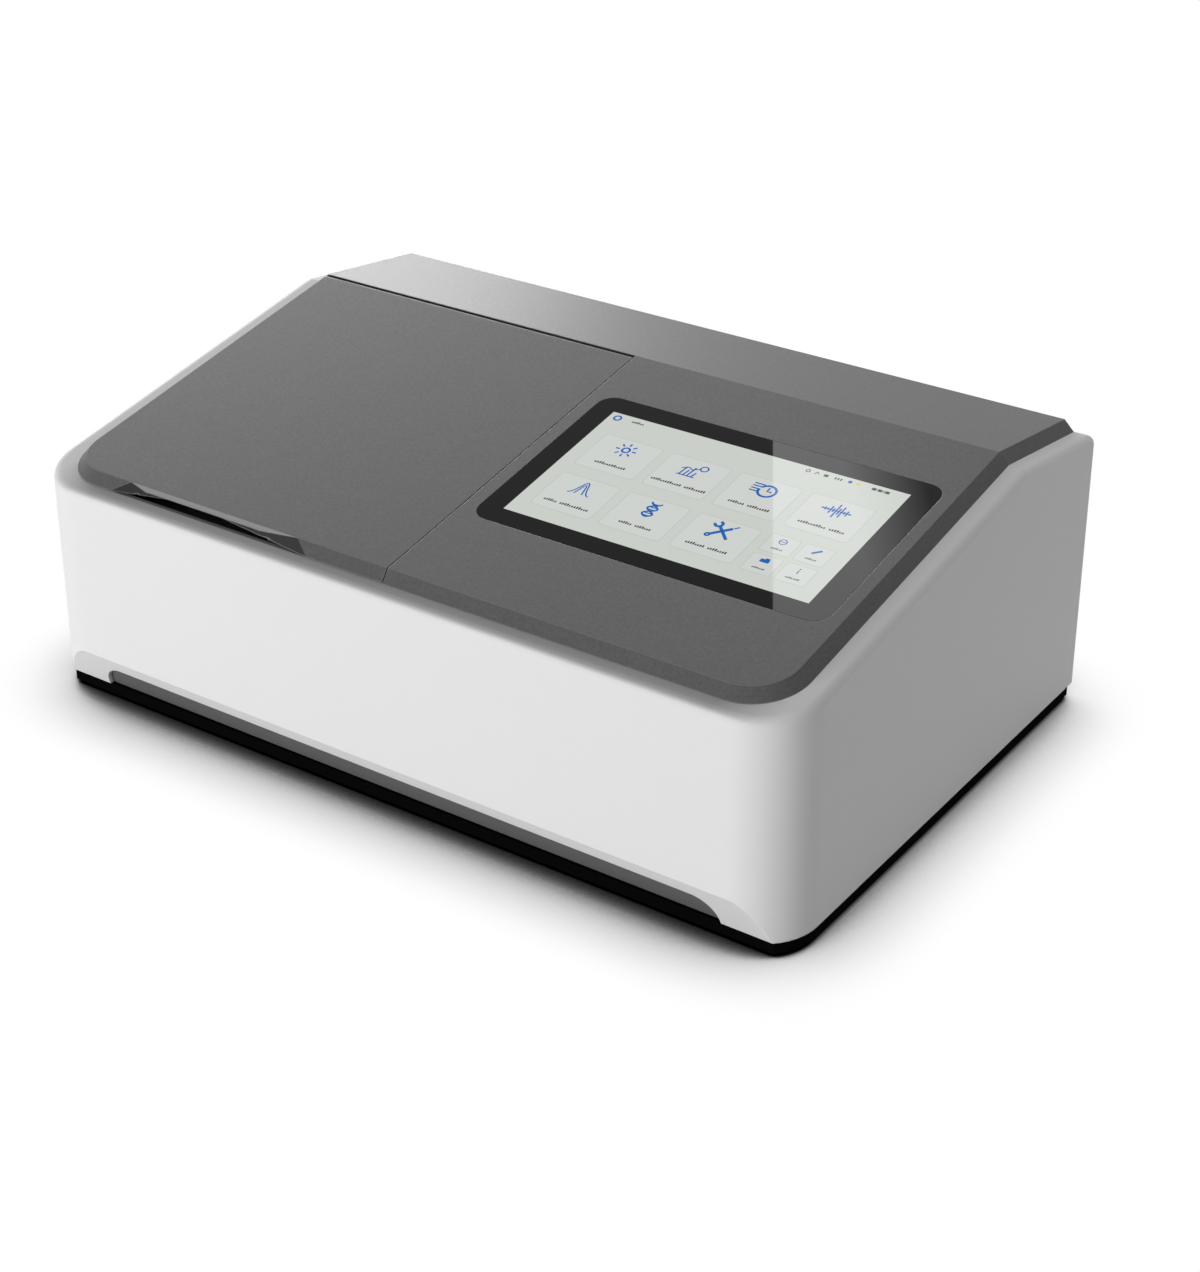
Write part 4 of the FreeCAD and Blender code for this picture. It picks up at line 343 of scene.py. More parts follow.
def eased(n: Nodes, value: bpy.types.NodeSocket, low: float, high: float) -> bpy.types.NodeSocket:
    """Gives 0 below one limit, 1 above the other and a straight rise between, or a fall.

    Args:
        n: the nodes to add to.
        value: the value's socket.
        low: where the result is 0.
        high: where the result is 1.

    Returns:
        The mask's socket.
    """
    rise = n.add("ShaderNodeMapRange", Value=value)
    rise.inputs["From Min"].default_value, rise.inputs["From Max"].default_value = low, high
    return rise.outputs[0]


def shade_group() -> bpy.types.NodeTree:
    """Builds the shade on outer faces that lean in towards the floor and on the casing's front ledge.

    Returns:
        The group, with a Colour output.
    """
    tree = new_group(
        Effect.SHADE,
        {"Colour": (0.5, 0.5, 0.5), "Undercut": 0.18, "Ledge": 0.46},
        {"Colour": "NodeSocketColor"},
    )
    n = Nodes(tree)
    given = n.add("NodeGroupInput")
    where = n.add("ShaderNodeTexCoord")
    facing = n.add("ShaderNodeSeparateXYZ", Vector=where.outputs["Normal"])
    place = n.add("ShaderNodeSeparateXYZ", Vector=where.outputs["Object"])
    leaning = between(n, facing.outputs["Z"], *UNDERCUT_FACING)
    under = n.maths("MULTIPLY", leaning, given.outputs["Undercut"])
    front = n.maths("LESS_THAN", place.outputs["Y"], LEDGE_BACK_Y)
    front = n.maths("MULTIPLY", front, given.outputs["Ledge"])
    inward = eased(n, n.maths("ABSOLUTE", place.outputs["X"]), *LEDGE_ENDS_X)
    level = eased(n, facing.outputs["Z"], *LEDGE_FACING)
    ledge = n.maths("MULTIPLY", n.maths("MULTIPLY", front, inward), level)
    n.link(
        n.mix(n.maths("ADD", under, ledge), given.outputs["Colour"], BLACK_TONE),
        n.add("NodeGroupOutput").inputs["Colour"],
    )
    return tree


def scoop_group() -> bpy.types.NodeTree:
    """Builds the painted light of the lid's finger scoop: a painted highlight on the lip between two
    slanted ends in painted shade.

    Returns:
        The group, with a Colour output.
    """
    tree = new_group(
        Effect.SCOOP,
        {"Colour": (0.5, 0.5, 0.5), "Lip": (0.30, 0.30, 0.30), "Ends": (0.018, 0.018, 0.018)},
        {"Colour": "NodeSocketColor"},
    )
    n = Nodes(tree)
    given = n.add("NodeGroupInput")
    where = n.add("ShaderNodeTexCoord")
    facing = n.add("ShaderNodeSeparateXYZ", Vector=where.outputs["Normal"])
    place = n.add("ShaderNodeSeparateXYZ", Vector=where.outputs["Object"])
    near = between(n, place.outputs["X"], *SCOOP_X)
    near = n.maths("MULTIPLY", near, n.maths("LESS_THAN", place.outputs["Y"], SCOOP_BACK_Y))
    side = n.maths("ABSOLUTE", facing.outputs["X"])
    ends = n.maths("MULTIPLY", near, n.maths("GREATER_THAN", side, SCOOP_END_FACING))
    front = n.maths("LESS_THAN", facing.outputs["Y"], SCOOP_LIP_FACING)
    straight = n.maths("LESS_THAN", side, SCOOP_END_FACING)
    lip = n.maths("MULTIPLY", n.maths("MULTIPLY", near, front), straight)
    # Painted shade on the slanted ends, then a painted highlight on the lip.
    darker = n.mix(ends, given.outputs["Colour"], given.outputs["Ends"])
    n.link(n.mix(lip, darker, given.outputs["Lip"]), n.add("NodeGroupOutput").inputs["Colour"])
    return tree


GROUPS: dict[Effect, bpy.types.NodeTree] = {}


def effect_node(n: Nodes, effect: Effect, **values: object) -> bpy.types.Node:
    """Places a shared effect in a material, building its group on first use.

    Args:
        n: the material's nodes.
        effect: which effect.
        values: input values or sockets by name.

    Returns:
        The group's node in the material.
    """
    makers = {
        Effect.GRAIN: grain_group,
        Effect.BRUSHED: brushed_group,
        Effect.DUST: dust_group,
        Effect.SHADE: shade_group,
        Effect.SCOOP: scoop_group,
    }
    if effect not in GROUPS:
        GROUPS[effect] = makers[effect]()
    node = n.tree.nodes.new("ShaderNodeGroup")
    node.node_tree = GROUPS[effect]
    for name, value in values.items():
        n.set(node, name, value)
    return node


@dataclass(frozen=True)
class Finish:
    """A plain painted or moulded surface."""

    name: str
    colour: Colour
    roughness: float = 0.5
    reflection: float = 0.5

    def start(self) -> tuple[bpy.types.Material, Nodes, bpy.types.Node]:
        """Makes the material with its surface shader.

        Returns:
            The material, its nodes and the Principled shader.
        """
        material = bpy.data.materials.new(self.name)
        material.use_nodes = True
        n = Nodes(material.node_tree)
        shader = n.add("ShaderNodeBsdfPrincipled", Base_Color=self.colour, Roughness=self.roughness)
        n.set(shader, "Specular IOR Level", self.reflection)
        output = n.add("ShaderNodeOutputMaterial")
        n.link(shader.outputs[0], output.inputs["Surface"])
        return material, n, shader

    def make(self) -> bpy.types.Material:
        """Makes the finish's material.

        Returns:
            The material.
        """
        return self.start()[0]


@dataclass(frozen=True)
class Moulding(Finish):
    """Moulded plastic or rubber with a fine grain, a little dust and painted highlights on its edges where
    asked for.
    """

    speckle: float = 0.12
    drift: float = 0.05
    grain_scale: float = 1800.0
    grain_depth: float = 0.00002
    dust: float = 0.03
    edge: float = 0.0004
    edge_light: float = 0.0
    tint: Effect | None = None

    def make(self) -> bpy.types.Material:
        """Makes the grained material.

        Returns:
            The material.
        """
        material, n, shader = self.start()
        grain = effect_node(
            n,
            Effect.GRAIN,
            Colour=self.colour,
            Speckle=self.speckle,
            Drift=self.drift,
            Scale=self.grain_scale,
        )
        dusty = effect_node(
            n,
            Effect.DUST,
            Colour=grain.outputs["Colour"],
            Roughness=self.roughness,
            Amount=self.dust,
        )
        colour = dusty.outputs["Colour"]
        if self.tint:
            colour = effect_node(n, self.tint, Colour=colour).outputs["Colour"]
        n.set(shader, "Base Color", colour)
        n.set(shader, "Roughness", dusty.outputs["Roughness"])
        bump = n.add("ShaderNodeBump", Distance=self.grain_depth, Height=grain.outputs["Height"])
        if self.edge:
            soft = n.add("ShaderNodeBevel", samples=4, Radius=self.edge)
            n.set(bump, "Normal", soft.outputs[0])
            if self.edge_light:
                # Painted highlight: where the soft bevel turns the normal, the colour turns lighter.
                true = n.add("ShaderNodeNewGeometry").outputs["Normal"]
                turned = n.add("ShaderNodeVectorMath", operation="DISTANCE")
                n.link(soft.outputs[0], turned.inputs[0])
                n.link(true, turned.inputs[1])
                painted_highlight = n.maths("MULTIPLY", turned.outputs["Value"], self.edge_light)
                painted_highlight = n.maths("MINIMUM", painted_highlight, 1.0)
                n.set(shader, "Base Color", n.mix(painted_highlight, colour, PAINTED_HIGHLIGHT_TONE))
        n.set(shader, "Normal", bump.outputs[0])
        return material


@dataclass(frozen=True)
class Metal(Finish):
    """Bare, plated or anodised metal with brushed or turned lines."""

    metallic: float = 1.0
    lines: float = 0.15
    line_scale: float = 900.0
    line_depth: float = 0.00001

    def make(self) -> bpy.types.Material:
        """Makes the lined metal.

        Returns:
            The material.
        """
        material, n, shader = self.start()
        brushed = effect_node(
            n,
            Effect.BRUSHED,
            Colour=self.colour,
            Roughness=self.roughness,
            Strength=self.lines,
            Scale=self.line_scale,
        )
        n.set(shader, "Base Color", brushed.outputs["Colour"])
        n.set(shader, "Roughness", brushed.outputs["Roughness"])
        n.set(shader, "Metallic", self.metallic)
        bump = n.add("ShaderNodeBump", Distance=self.line_depth, Height=brushed.outputs["Height"])
        n.set(shader, "Normal", bump.outputs[0])
        return material


@dataclass(frozen=True)
class Glass(Finish):
    """Clear or tinted glass."""

    ior: float = 1.46

    def make(self) -> bpy.types.Material:
        """Makes the glass.

        Returns:
            The material.
        """
        material, n, shader = self.start()
        n.set(shader, "Transmission Weight", 1.0)
        n.set(shader, "IOR", self.ior)
        return material


@dataclass(frozen=True)
class Lit(Finish):
    """A lit part of the display, with the faint unevenness of its back light."""

    strength: float = 1.0
    behind: Colour = (0.004, 0.004, 0.004)
    unevenness: float = 0.10
    dimmest: float = 0.86

    def make(self) -> bpy.types.Material:
        """Makes the lit surface.

        Returns:
            The material.
        """
        material, n, shader = self.start()
        n.set(shader, "Base Color", self.behind)
        place = n.add("ShaderNodeTexCoord").outputs["Object"]
        cloud = n.add("ShaderNodeTexNoise", Vector=place, Scale=GLOW_SCALE, Detail=1.0)
        share = n.maths("MULTIPLY", cloud.outputs[0], self.unevenness)
        dim = tuple(c * self.dimmest for c in self.colour)
        n.set(shader, "Emission Color", n.mix(share, self.colour, dim))
        n.set(shader, "Emission Strength", self.strength)
        return material


@dataclass(frozen=True)
class Board(Finish):
    """Lacquered circuit board with faint copper tracks."""

    track_light: float = 1.7
    track_depth: float = 0.00003

    def make(self) -> bpy.types.Material:
        """Makes the board.

        Returns:
            The material.
        """
        material, n, shader = self.start()
        place = n.add("ShaderNodeTexCoord").outputs["Object"]
        tracks = n.add("ShaderNodeTexBrick", Vector=place, Scale=TRACK_SCALE, Mortar_Size=0.04)
        lighter = tuple(min(1.0, c * self.track_light) for c in self.colour)
        n.set(shader, "Base Color", n.mix(tracks.outputs["Fac"], self.colour, lighter))
        bump = n.add("ShaderNodeBump", Distance=self.track_depth, Height=tracks.outputs["Fac"])
        n.set(shader, "Normal", bump.outputs[0])
        return material


class Skin(Enum):
    """Every finish on the instrument."""

    WHITE = Moulding(
        "white_satin",
        (0.80, 0.80, 0.80),
        0.5,
        0.12,
        speckle=0.015,
        drift=0.012,
        grain_depth=0.000004,
        dust=0.01,
        edge=0.0015,
        tint=Effect.SHADE,
    )
    # Its edges take a painted highlight, and the scoop takes painted highlight and painted shade.
    GREY = Moulding(
        "grey_grained",
        (0.095, 0.098, 0.096),
        0.4,
        0.3,
        speckle=0.9,
        drift=0.05,
        grain_scale=520.0,
        grain_depth=0.00004,
        edge=0.0008,
        edge_light=3.0,
        tint=Effect.SCOOP,
    )
    BAR = Moulding("grey_bar", (0.105, 0.106, 0.107), 0.5, speckle=0.15)
    BLACK = Moulding("black_matt", (0.022, 0.022, 0.024), 0.55, speckle=0.2, dust=0.02)
    DECK = Moulding("dark_deck", (0.085, 0.086, 0.087), 0.55, speckle=0.2, dust=0.02)
    BLACK_SHEET = Moulding(
        "black_powder_coat", (0.028, 0.028, 0.030), 0.5, speckle=0.2, grain_depth=0.00003
    )
    # A black base, nearly black with almost no reflection so that it also reads as the painted shadow under
    # the casing.
    BASE = Moulding("black_base_and_painted_shadow", (0.0025, 0.0025, 0.003), 1.0, 0.02, speckle=0.2, dust=0.0)
    RUBBER = Moulding("black_rubber", (0.018, 0.018, 0.018), 0.75, speckle=0.15, dust=0.05)
    FOAM = Moulding(
        "black_foam", (0.025, 0.025, 0.026), 0.9, speckle=0.5, grain_scale=900.0, grain_depth=0.0002
    )
    ZINC = Metal("zinc_plated", (0.62, 0.63, 0.63), 0.38)
    STEEL = Metal("turned_steel", (0.58, 0.58, 0.59), 0.28)
    NICKEL = Metal("nickel_plated", (0.72, 0.71, 0.68), 0.2, lines=0.06)
    CAST = Metal("cast_alloy", (0.55, 0.56, 0.57), 0.55, lines=0.1, line_scale=500.0)
    ANODISED = Metal("black_anodised", (0.030, 0.030, 0.033), 0.42, metallic=0.6, lines=0.2)
    BRONZE = Metal("bronze", (0.62, 0.45, 0.22), 0.35)
    MIRROR = Metal("coated_mirror", (0.88, 0.89, 0.90), 0.04, lines=0.02)
    QUARTZ = Glass("clear_quartz", (0.98, 0.985, 0.99), 0.02)
    PANE = Finish("display_pane", (0.004, 0.004, 0.0045), 0.015, 0.08)
    FILTER = Glass("coloured_filter", (0.85, 0.35, 0.10), 0.03, 1.5)
    BOARD = Board("green_board", (0.02, 0.13, 0.055), 0.35)
    SCREEN = Lit("screen_ground", (0.575, 0.605, 0.565), 0.02, 0.08)
    TILE = Lit("screen_tile", (0.605, 0.63, 0.605), 0.02, 0.08)
    TILE_EDGE = Lit("screen_tile_edge", (0.52, 0.55, 0.52), 0.02, 0.08)
    BLUE = Lit("screen_blue", (0.006, 0.11, 0.42), 0.02, 0.08)
    INK = Lit("screen_ink", (0.055, 0.06, 0.065), 0.02, 0.08)
    AMBER = Lit("screen_amber", (0.75, 0.52, 0.10), 0.02, 0.08)


MATERIALS: dict[Skin, bpy.types.Material] = {}


def material_of(skin: Skin) -> bpy.types.Material:
    """Gives a finish's material, made on first use.

    Args:
        skin: which finish.

    Returns:
        The material.
    """
    if skin not in MATERIALS:
        MATERIALS[skin] = skin.value.make()
    return MATERIALS[skin]


def dress(frame: dict, skins: dict[str, Skin]) -> None:
    """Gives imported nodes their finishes.

    Args:
        frame: the loaded frame.
        skins: node name to finish.
    """
    for node, skin in skins.items():
        slots = frame["nodes"][node].material_slots
        for slot in slots:
            slot.material = material_of(skin)
        log.info("%s dressed in %s", node, skin.value.name)


def flat_piece(name: str, outlines: list[Outline], height: float, skin: Skin) -> bpy.types.Object:
    """Makes a thin printed layer that lies parallel to the sloping top.

    Args:
        name: the piece's name.
        outlines: closed outlines in millimetres, in the slope's frame.
        height: the layer's height over the slope's surface in millimetres.
        skin: its finish.

    Returns:
        The piece.
    """
    mesh = bpy.data.meshes.new(name)
    work = bmesh.new()
    for outline in outlines:
        corners = [work.verts.new((x * MM, y * MM, height * MM)) for x, y in outline]
        work.faces.new(corners)
    bmesh.ops.recalc_face_normals(work, faces=work.faces)
    for face in work.faces:
        if face.normal.z < 0:
            face.normal_flip()
    work.transform(slope_matrix())
    work.to_mesh(mesh)
    work.free()
    piece = bpy.data.objects.new(name, mesh)
    bpy.context.scene.collection.objects.link(piece)
    mesh.materials.append(material_of(skin))
    return piece


def rounded(x: float, y: float, width: float, height: float, radius: float, steps: int = 5) -> Outline:
    """Draws a rectangle with round corners about its centre.

    Args:
        x: centre across.
        y: centre up the slope.
        width: full width.
        height: full height.
        radius: corner radius.
        steps: segments in each corner.

    Returns:
        The outline.
    """
    points = []
    for quarter, (sx, sy) in enumerate(((1, 1), (-1, 1), (-1, -1), (1, -1))):
        cx = x + sx * (width / 2 - radius)
        cy = y + sy * (height / 2 - radius)
        for i in range(steps + 1):
            a = math.radians(90 * (quarter + i / steps))
            points.append((cx + radius * math.cos(a), cy + radius * math.sin(a)))
    return points


def disc(x: float, y: float, radius: float, steps: int = 20) -> Outline:
    """Draws a round outline."""
    turn = 2 * math.pi / steps
    return [(x + radius * math.cos(i * turn), y + radius * math.sin(i * turn)) for i in range(steps)]


def ring(
    x: float, y: float, outer: float, inner: float, start: float = 0, sweep: float = 360
) -> list[Outline]:
    """Draws a ring or an arc as a row of four sided outlines.

    Args:
        x: centre across.
        y: centre up the slope.
        outer: outer radius.
        inner: inner radius.
        start: first angle in degrees.
        sweep: angle covered in degrees.

    Returns:
        The outlines.
    """
    count = max(6, round(sweep / 18))
    angles = [math.radians(start + sweep * i / count) for i in range(count + 1)]
    parts = []
    for a, b in zip(angles, angles[1:]):
        corners = ((inner, a), (outer, a), (outer, b), (inner, b))
        parts.append([(x + r * math.cos(t), y + r * math.sin(t)) for r, t in corners])
    return parts


def stroke(points: Outline, width: float) -> list[Outline]:
    """Draws a line of even width through points.

    Args:
        points: the line's points.
        width: the line's width.

    Returns:
        One four sided outline for each run.
    """
    sides = []
    for i, (x, y) in enumerate(points):
        ax, ay = points[max(i - 1, 0)]
        bx, by = points[min(i + 1, len(points) - 1)]
        length = math.hypot(bx - ax, by - ay)
        nx, ny = -(by - ay) / length * width / 2, (bx - ax) / length * width / 2
        sides.append(((x + nx, y + ny), (x - nx, y - ny)))
    return [[a[0], a[1], b[1], b[0]] for a, b in zip(sides, sides[1:])]


def placed(outlines: list[Outline], x: float, y: float) -> list[Outline]:
    """Moves outlines by x and y."""
    return [[(px + x, py + y) for px, py in outline] for outline in outlines]


@dataclass
class DisplayFace:
    """Dark cover glass and what the lit display shows, in millimetres on the sloping top."""

    lit_height: float = 0.03
    layer_step: float = 0.02
    active_x: Point = (26.2, 251.2)
    active_y: Point = (85.9, 212.6)
    columns: tuple[float, ...] = (60.0, 112.7, 165.5, 218.0)
    rows: tuple[float, float] = (168.6, 118.4)
    tile: Point = (46.5, 40.0)
    small_columns: tuple[float, float] = (205.6, 229.6)
    small_rows: tuple[float, float] = (129.4, 107.4)
    small_tile: Point = (21.8, 19.4)
    icon_rise: float = 8.0
    small_icon_rise: float = 3.6
    label_rise: float = -11.4
    small_label_rise: float = -4.6
    label_height: float = 1.8
    small_label_height: float = 1.15
    word_gap: float = 2.2
    small_word_gap: float = 1.3
    words_in_rows: tuple[tuple[Words, ...], ...] = (
        ((24,), (23, 16), (12, 16), (20, 11)),
        ((10, 22), (10, 12), (14, 14)),
    )
    words_in_small_rows: tuple[tuple[Words, ...], ...] = (((8,), (8,)), ((9,), (10,)))
    line: float = 1.0
    home: Point = (33.0, 207.0)
    link_mark: Point = (210.0, 208.4)
    battery: Point = (215.8, 208.6)
    status_y: float = 208.0

    def build(self, frame: dict) -> list[bpy.types.Object]:
        """Builds the face and dresses the nodes behind it.

        Args:
            frame: the loaded frame.

        Returns:
            The new pieces.
        """
        dress(
            frame,
            {
                "touch_glass": Skin.PANE,
                "display_panel": Skin.SCREEN,
                "display_tray": Skin.ZINC,
                "display_board": Skin.BOARD,
            },
        )
        (left, right), (low, high) = self.active_x, self.active_y
        ground = [(left, low), (right, low), (right, high), (left, high)]
        layers = [
            ("screen_ground", [ground], Skin.SCREEN),
            ("screen_tile_edges", self.tiles(0.0), Skin.TILE_EDGE),
            ("screen_tiles", self.tiles(0.8), Skin.TILE),
            ("screen_pictograms", self.pictograms(), Skin.BLUE),
            ("screen_labels", self.labels(), Skin.INK),
            ("screen_status", self.status(), Skin.INK),
            ("screen_battery", [rounded(*self.battery, 3.2, 2.2, 0.5)], Skin.AMBER),
        ]
        pieces = []
        for step, (name, outlines, skin) in enumerate(layers):
            piece = flat_piece(name, outlines, self.lit_height + self.layer_step * min(step, 3), skin)
            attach(piece, "root")
            pieces.append(piece)
        return pieces

    def tiles(self, inset: float) -> list[Outline]:
        """Draws the tiles of the menu.

        Args:
            inset: how far inside the tile's edge to draw.

        Returns:
            The outlines.
        """
        outlines = []
        width, height = (side - 2 * inset for side in self.tile)
        for row, y in enumerate(self.rows):
            for x in self.columns[: 4 - row]:
                outlines.append(rounded(x, y, width, height, 3.5 - inset))
        width, height = (side - 2 * inset for side in self.small_tile)
        for y in self.small_rows:
            for x in self.small_columns:
                outlines.append(rounded(x, y, width, height, 2.0 - inset))
        return outlines

    def pictograms(self) -> list[Outline]:
        """Draws the blue pictogram of each tile.

        Returns:
            The outlines.
        """
        drawn = (
            (self.sun(), self.bars(), self.clock(), self.wave()),
            (self.peaks(), self.helix(), self.tools()),
        )
        parts = []
        for y, row in zip(self.rows, drawn):
            for x, pictogram in zip(self.columns, row):
                parts += placed(pictogram, x, y + self.icon_rise)
        parts += self.small_pictograms()
        parts += ring(*self.home, 3.2, 1.8)
        parts.append(disc(*self.link_mark, 1.5))
        return parts

    @staticmethod
    def sun() -> list[Outline]:
        """Draws a ring with eight rays.

        Returns:
            The outlines about their centre.
        """
        parts = ring(0, 0, 3.4, 1.9)
        for i in range(8):
            t = math.radians(45 * i)
            parts += stroke([(r * math.cos(t), r * math.sin(t)) for r in (4.8, 7.8)], 1.3)
        return parts

    def bars(self) -> list[Outline]:
        """Draws a bar chart with a rising line and a ring at its end.

        Returns:
            The outlines about their centre.
        """
        parts = []
        for x, tall in ((-6.6, 9), (-3.6, 6), (-0.6, 10), (2.4, 5)):
            parts += stroke([(x, -7.5), (x + 1.2, -7.5 + tall)], 1.2)
        parts += stroke([(-8.5, -1.0), (-4, 1.4), (-1, -0.4), (3.4, 2.2)], self.line)
        parts += stroke([(-8.6, -7.9), (4.6, -7.9)], self.line)
        return parts + ring(6.2, 3.4, 3.2, 2.1)

    @staticmethod
    def clock() -> list[Outline]:
        """Draws a clock with four lines of speed on its left.

        Returns:
            The outlines about their centre.
        """
        parts = ring(2.5, -0.5, 7.0, 5.2, 180, 330)
        parts += stroke([(2.5, 3.6), (2.5, -0.5), (5.8, -0.5)], 1.2)
        for i in range(4):
            y = 5.2 - 2.7 * i
            parts += stroke([(-9.5, y), (-1.6 - 0.4 * i, y)], 1.2)
        return parts

    @staticmethod
    def wave() -> list[Outline]:
        """Draws a row of bars of changing height on a line.

        Returns:
            The outlines about their centre.
        """
        parts = []
        for i, tall in enumerate((1.6, 3.4, 2.2, 8, 4.4, 15, 7, 12, 3.2, 6, 1.8)):
            parts.append(rounded(-9.5 + 1.9 * i, 0, 1.15, tall, 0.5))
        return parts + stroke([(-10.5, 0), (10.8, 0)], 0.8)

    def peaks(self) -> list[Outline]:
        """Draws two bell curves, one inside the other.

        Returns:
            The outlines about their centre.
        """
        parts = []
        for wide, base in ((3.9, -6.5), (2.4, -8.9)):
            curve = [(i, base + 14 * math.exp(-((i / wide) ** 2))) for i in range(-8, 9)]
            parts += stroke([point for point in curve if point[1] > -6.7], self.line)
        return parts

    @staticmethod
    def helix() -> list[Outline]:
        """Draws two strands that cross, with rungs between them.

        Returns:
            The outlines about their centre.
        """
        parts = []
        for phase in (0, math.pi):
            parts += stroke([(3.7 * math.sin(phase + i * 0.5), -8 + i) for i in range(17)], 1.5)
        for i in (1.5, 4, 8, 10.5, 14):
            half = 3.5 * abs(math.sin(i * 0.5)) + 0.2
            parts += stroke([(-half, -8 + i), (half, -8 + i)], 1.0)
        return parts

    @staticmethod
    def tools() -> list[Outline]:
        """Draws a crossed spanner and screwdriver.

        Returns:
            The outlines about their centre.
        """
        parts = stroke([(-6.5, -6.5), (5, 5)], 2.6)
        parts += stroke([(7, -7), (-4.5, 4.5)], 2.2)
        parts += stroke([(5.5, 5.5), (8.2, 8.2)], 1.2)
        parts += ring(-5.8, 5.8, 3.6, 1.5, 180, 270)
        return parts + ring(-6.8, -6.8, 2.2, 0.6)

    def small_pictograms(self) -> list[Outline]:
        """Draws the pictograms of the four small tiles.

        Returns:
            The outlines.
        """
        left, right = self.small_columns
        top, low = (y + self.small_icon_rise for y in self.small_rows)
        parts = ring(left, top, 2.9, 2.2)
        parts += stroke([(left - 2.4, top), (left + 2.4, top)], 0.6)
        parts += stroke([(right - 2.6, top - 2.4), (right + 2.6, top + 2.4)], 1.8)
        parts.append(rounded(left, low, 6.4, 3.4, 0.6))
        parts.append(rounded(left + 1.2, low + 1.8, 3.0, 2.4, 0.4))
        parts += stroke([(right, low - 2.6), (right, low + 0.8)], 0.8)
        parts.append(disc(right, low + 2.2, 0.6))
        return parts

    def labels(self) -> list[Outline]:
        """Draws rows of short grey ticks where a tile has its label.

        Returns:
            The outlines.
        """
        parts = []
        for y, row in zip(self.rows, self.words_in_rows):
            for x, lengths in zip(self.columns, row):
                parts += self.words(x, y + self.label_rise, lengths, self.label_height, self.word_gap)
        for y, row in zip(self.small_rows, self.words_in_small_rows):
            for x, lengths in zip(self.small_columns, row):
                place = (x, y + self.small_label_rise)
                parts += self.words(*place, lengths, self.small_label_height, self.small_word_gap)
        return parts + self.words(49.0, 207.2, (9.6,), 1.6, 2.0)

    @staticmethod
    def words(x: float, y: float, lengths: Words, height: float, gap: float) -> list[Outline]:
        """Draws words as rows of short ticks about a centre.

        Args:
            x: centre across.
            y: centre up the slope.
            lengths: length of each word.
            height: height of the ticks.
            gap: space between words.

        Returns:
            The outlines.
        """
        start = x - (sum(lengths) + gap * (len(lengths) - 1)) / 2
        parts = []
        for length in lengths:
            count = max(2, round(length / height))
            pitch = length / count
            for i in range(count):
                tall = height * (1.0, 1.35, 0.9, 1.15, 1.5)[i * 3 % 5]
                middle = (start + (i + 0.5) * pitch, y + (tall - height) / 2)
                parts.append(rounded(*middle, pitch * 0.72, tall, pitch * 0.2, 2))
            start += length + gap
        return parts

    def status(self) -> list[Outline]:
        """Draws the small marks at the right end of the header.

        Returns:
            The outlines.
        """
        y = self.status_y
        parts = ring(179.5, y, 1.7, 1.0)
        parts += stroke([(184.8, y - 1.2), (186.2, y + 1.2), (187.4, y - 0.2)], 0.9)
        parts.append(rounded(192.7, y, 3.2, 2.6, 0.4))
        for x in (199.6, 201.6, 203.6):
            parts.append(rounded(x, y, 1.1, 2.4, 0.3))
        for x, width in ((227.5, 3.2), (231.6, 3.2), (234.2, 0.7), (236.8, 3.2)):
            parts.append(rounded(x, y, width, 2.7, 0.3))
        return parts


@dataclass
class SubAssembly:
    """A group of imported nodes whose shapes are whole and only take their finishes."""

    skins: dict[str, Skin] = field(default_factory=dict)

    def build(self, frame: dict) -> list[bpy.types.Object]:
        """Dresses the group's nodes.

        Args:
            frame: the loaded frame.

        Returns:
            The new pieces, of which there are none.
        """
        dress(frame, self.skins)
        return []


@dataclass
class Casing(SubAssembly):
    """White shell, its foot bar, the base and the feet."""

    skins: dict[str, Skin] = field(
        default_factory=lambda: {
            "casing_shell": Skin.WHITE,
            "front_bar": Skin.BAR,
            "base_pan": Skin.BASE,
            "rubber_feet": Skin.RUBBER,
            "pan_screws": Skin.STEEL,
        }
    )


@dataclass
class Cover(SubAssembly):
    """Grey top cover, sample lid and the lid's hardware."""

    skins: dict[str, Skin] = field(
        default_factory=lambda: {
            "top_cover": Skin.GREY,
            "sample_lid": Skin.GREY,
            "lid_liner": Skin.BLACK,
            "lid_magnet": Skin.NICKEL,
            "hinge_brackets": Skin.STEEL,
            "hinge_pins": Skin.STEEL,
            "lid_sensor": Skin.BLACK,
        }
    )


@dataclass
class Compartment(SubAssembly):
    """Sample compartment with its deck, tub, windows and cell holders."""

    skins: dict[str, Skin] = field(
        default_factory=lambda: {
            "compartment_deck": Skin.DECK,
            "compartment_tub": Skin.ANODISED,
            "compartment_gasket": Skin.FOAM,
            "quartz_windows": Skin.QUARTZ,
            "cell_carrier": Skin.ANODISED,
            "sample_cell_holder": Skin.ANODISED,
            "reference_cell_holder": Skin.ANODISED,
            "thumb_screws": Skin.STEEL,
        }
    )


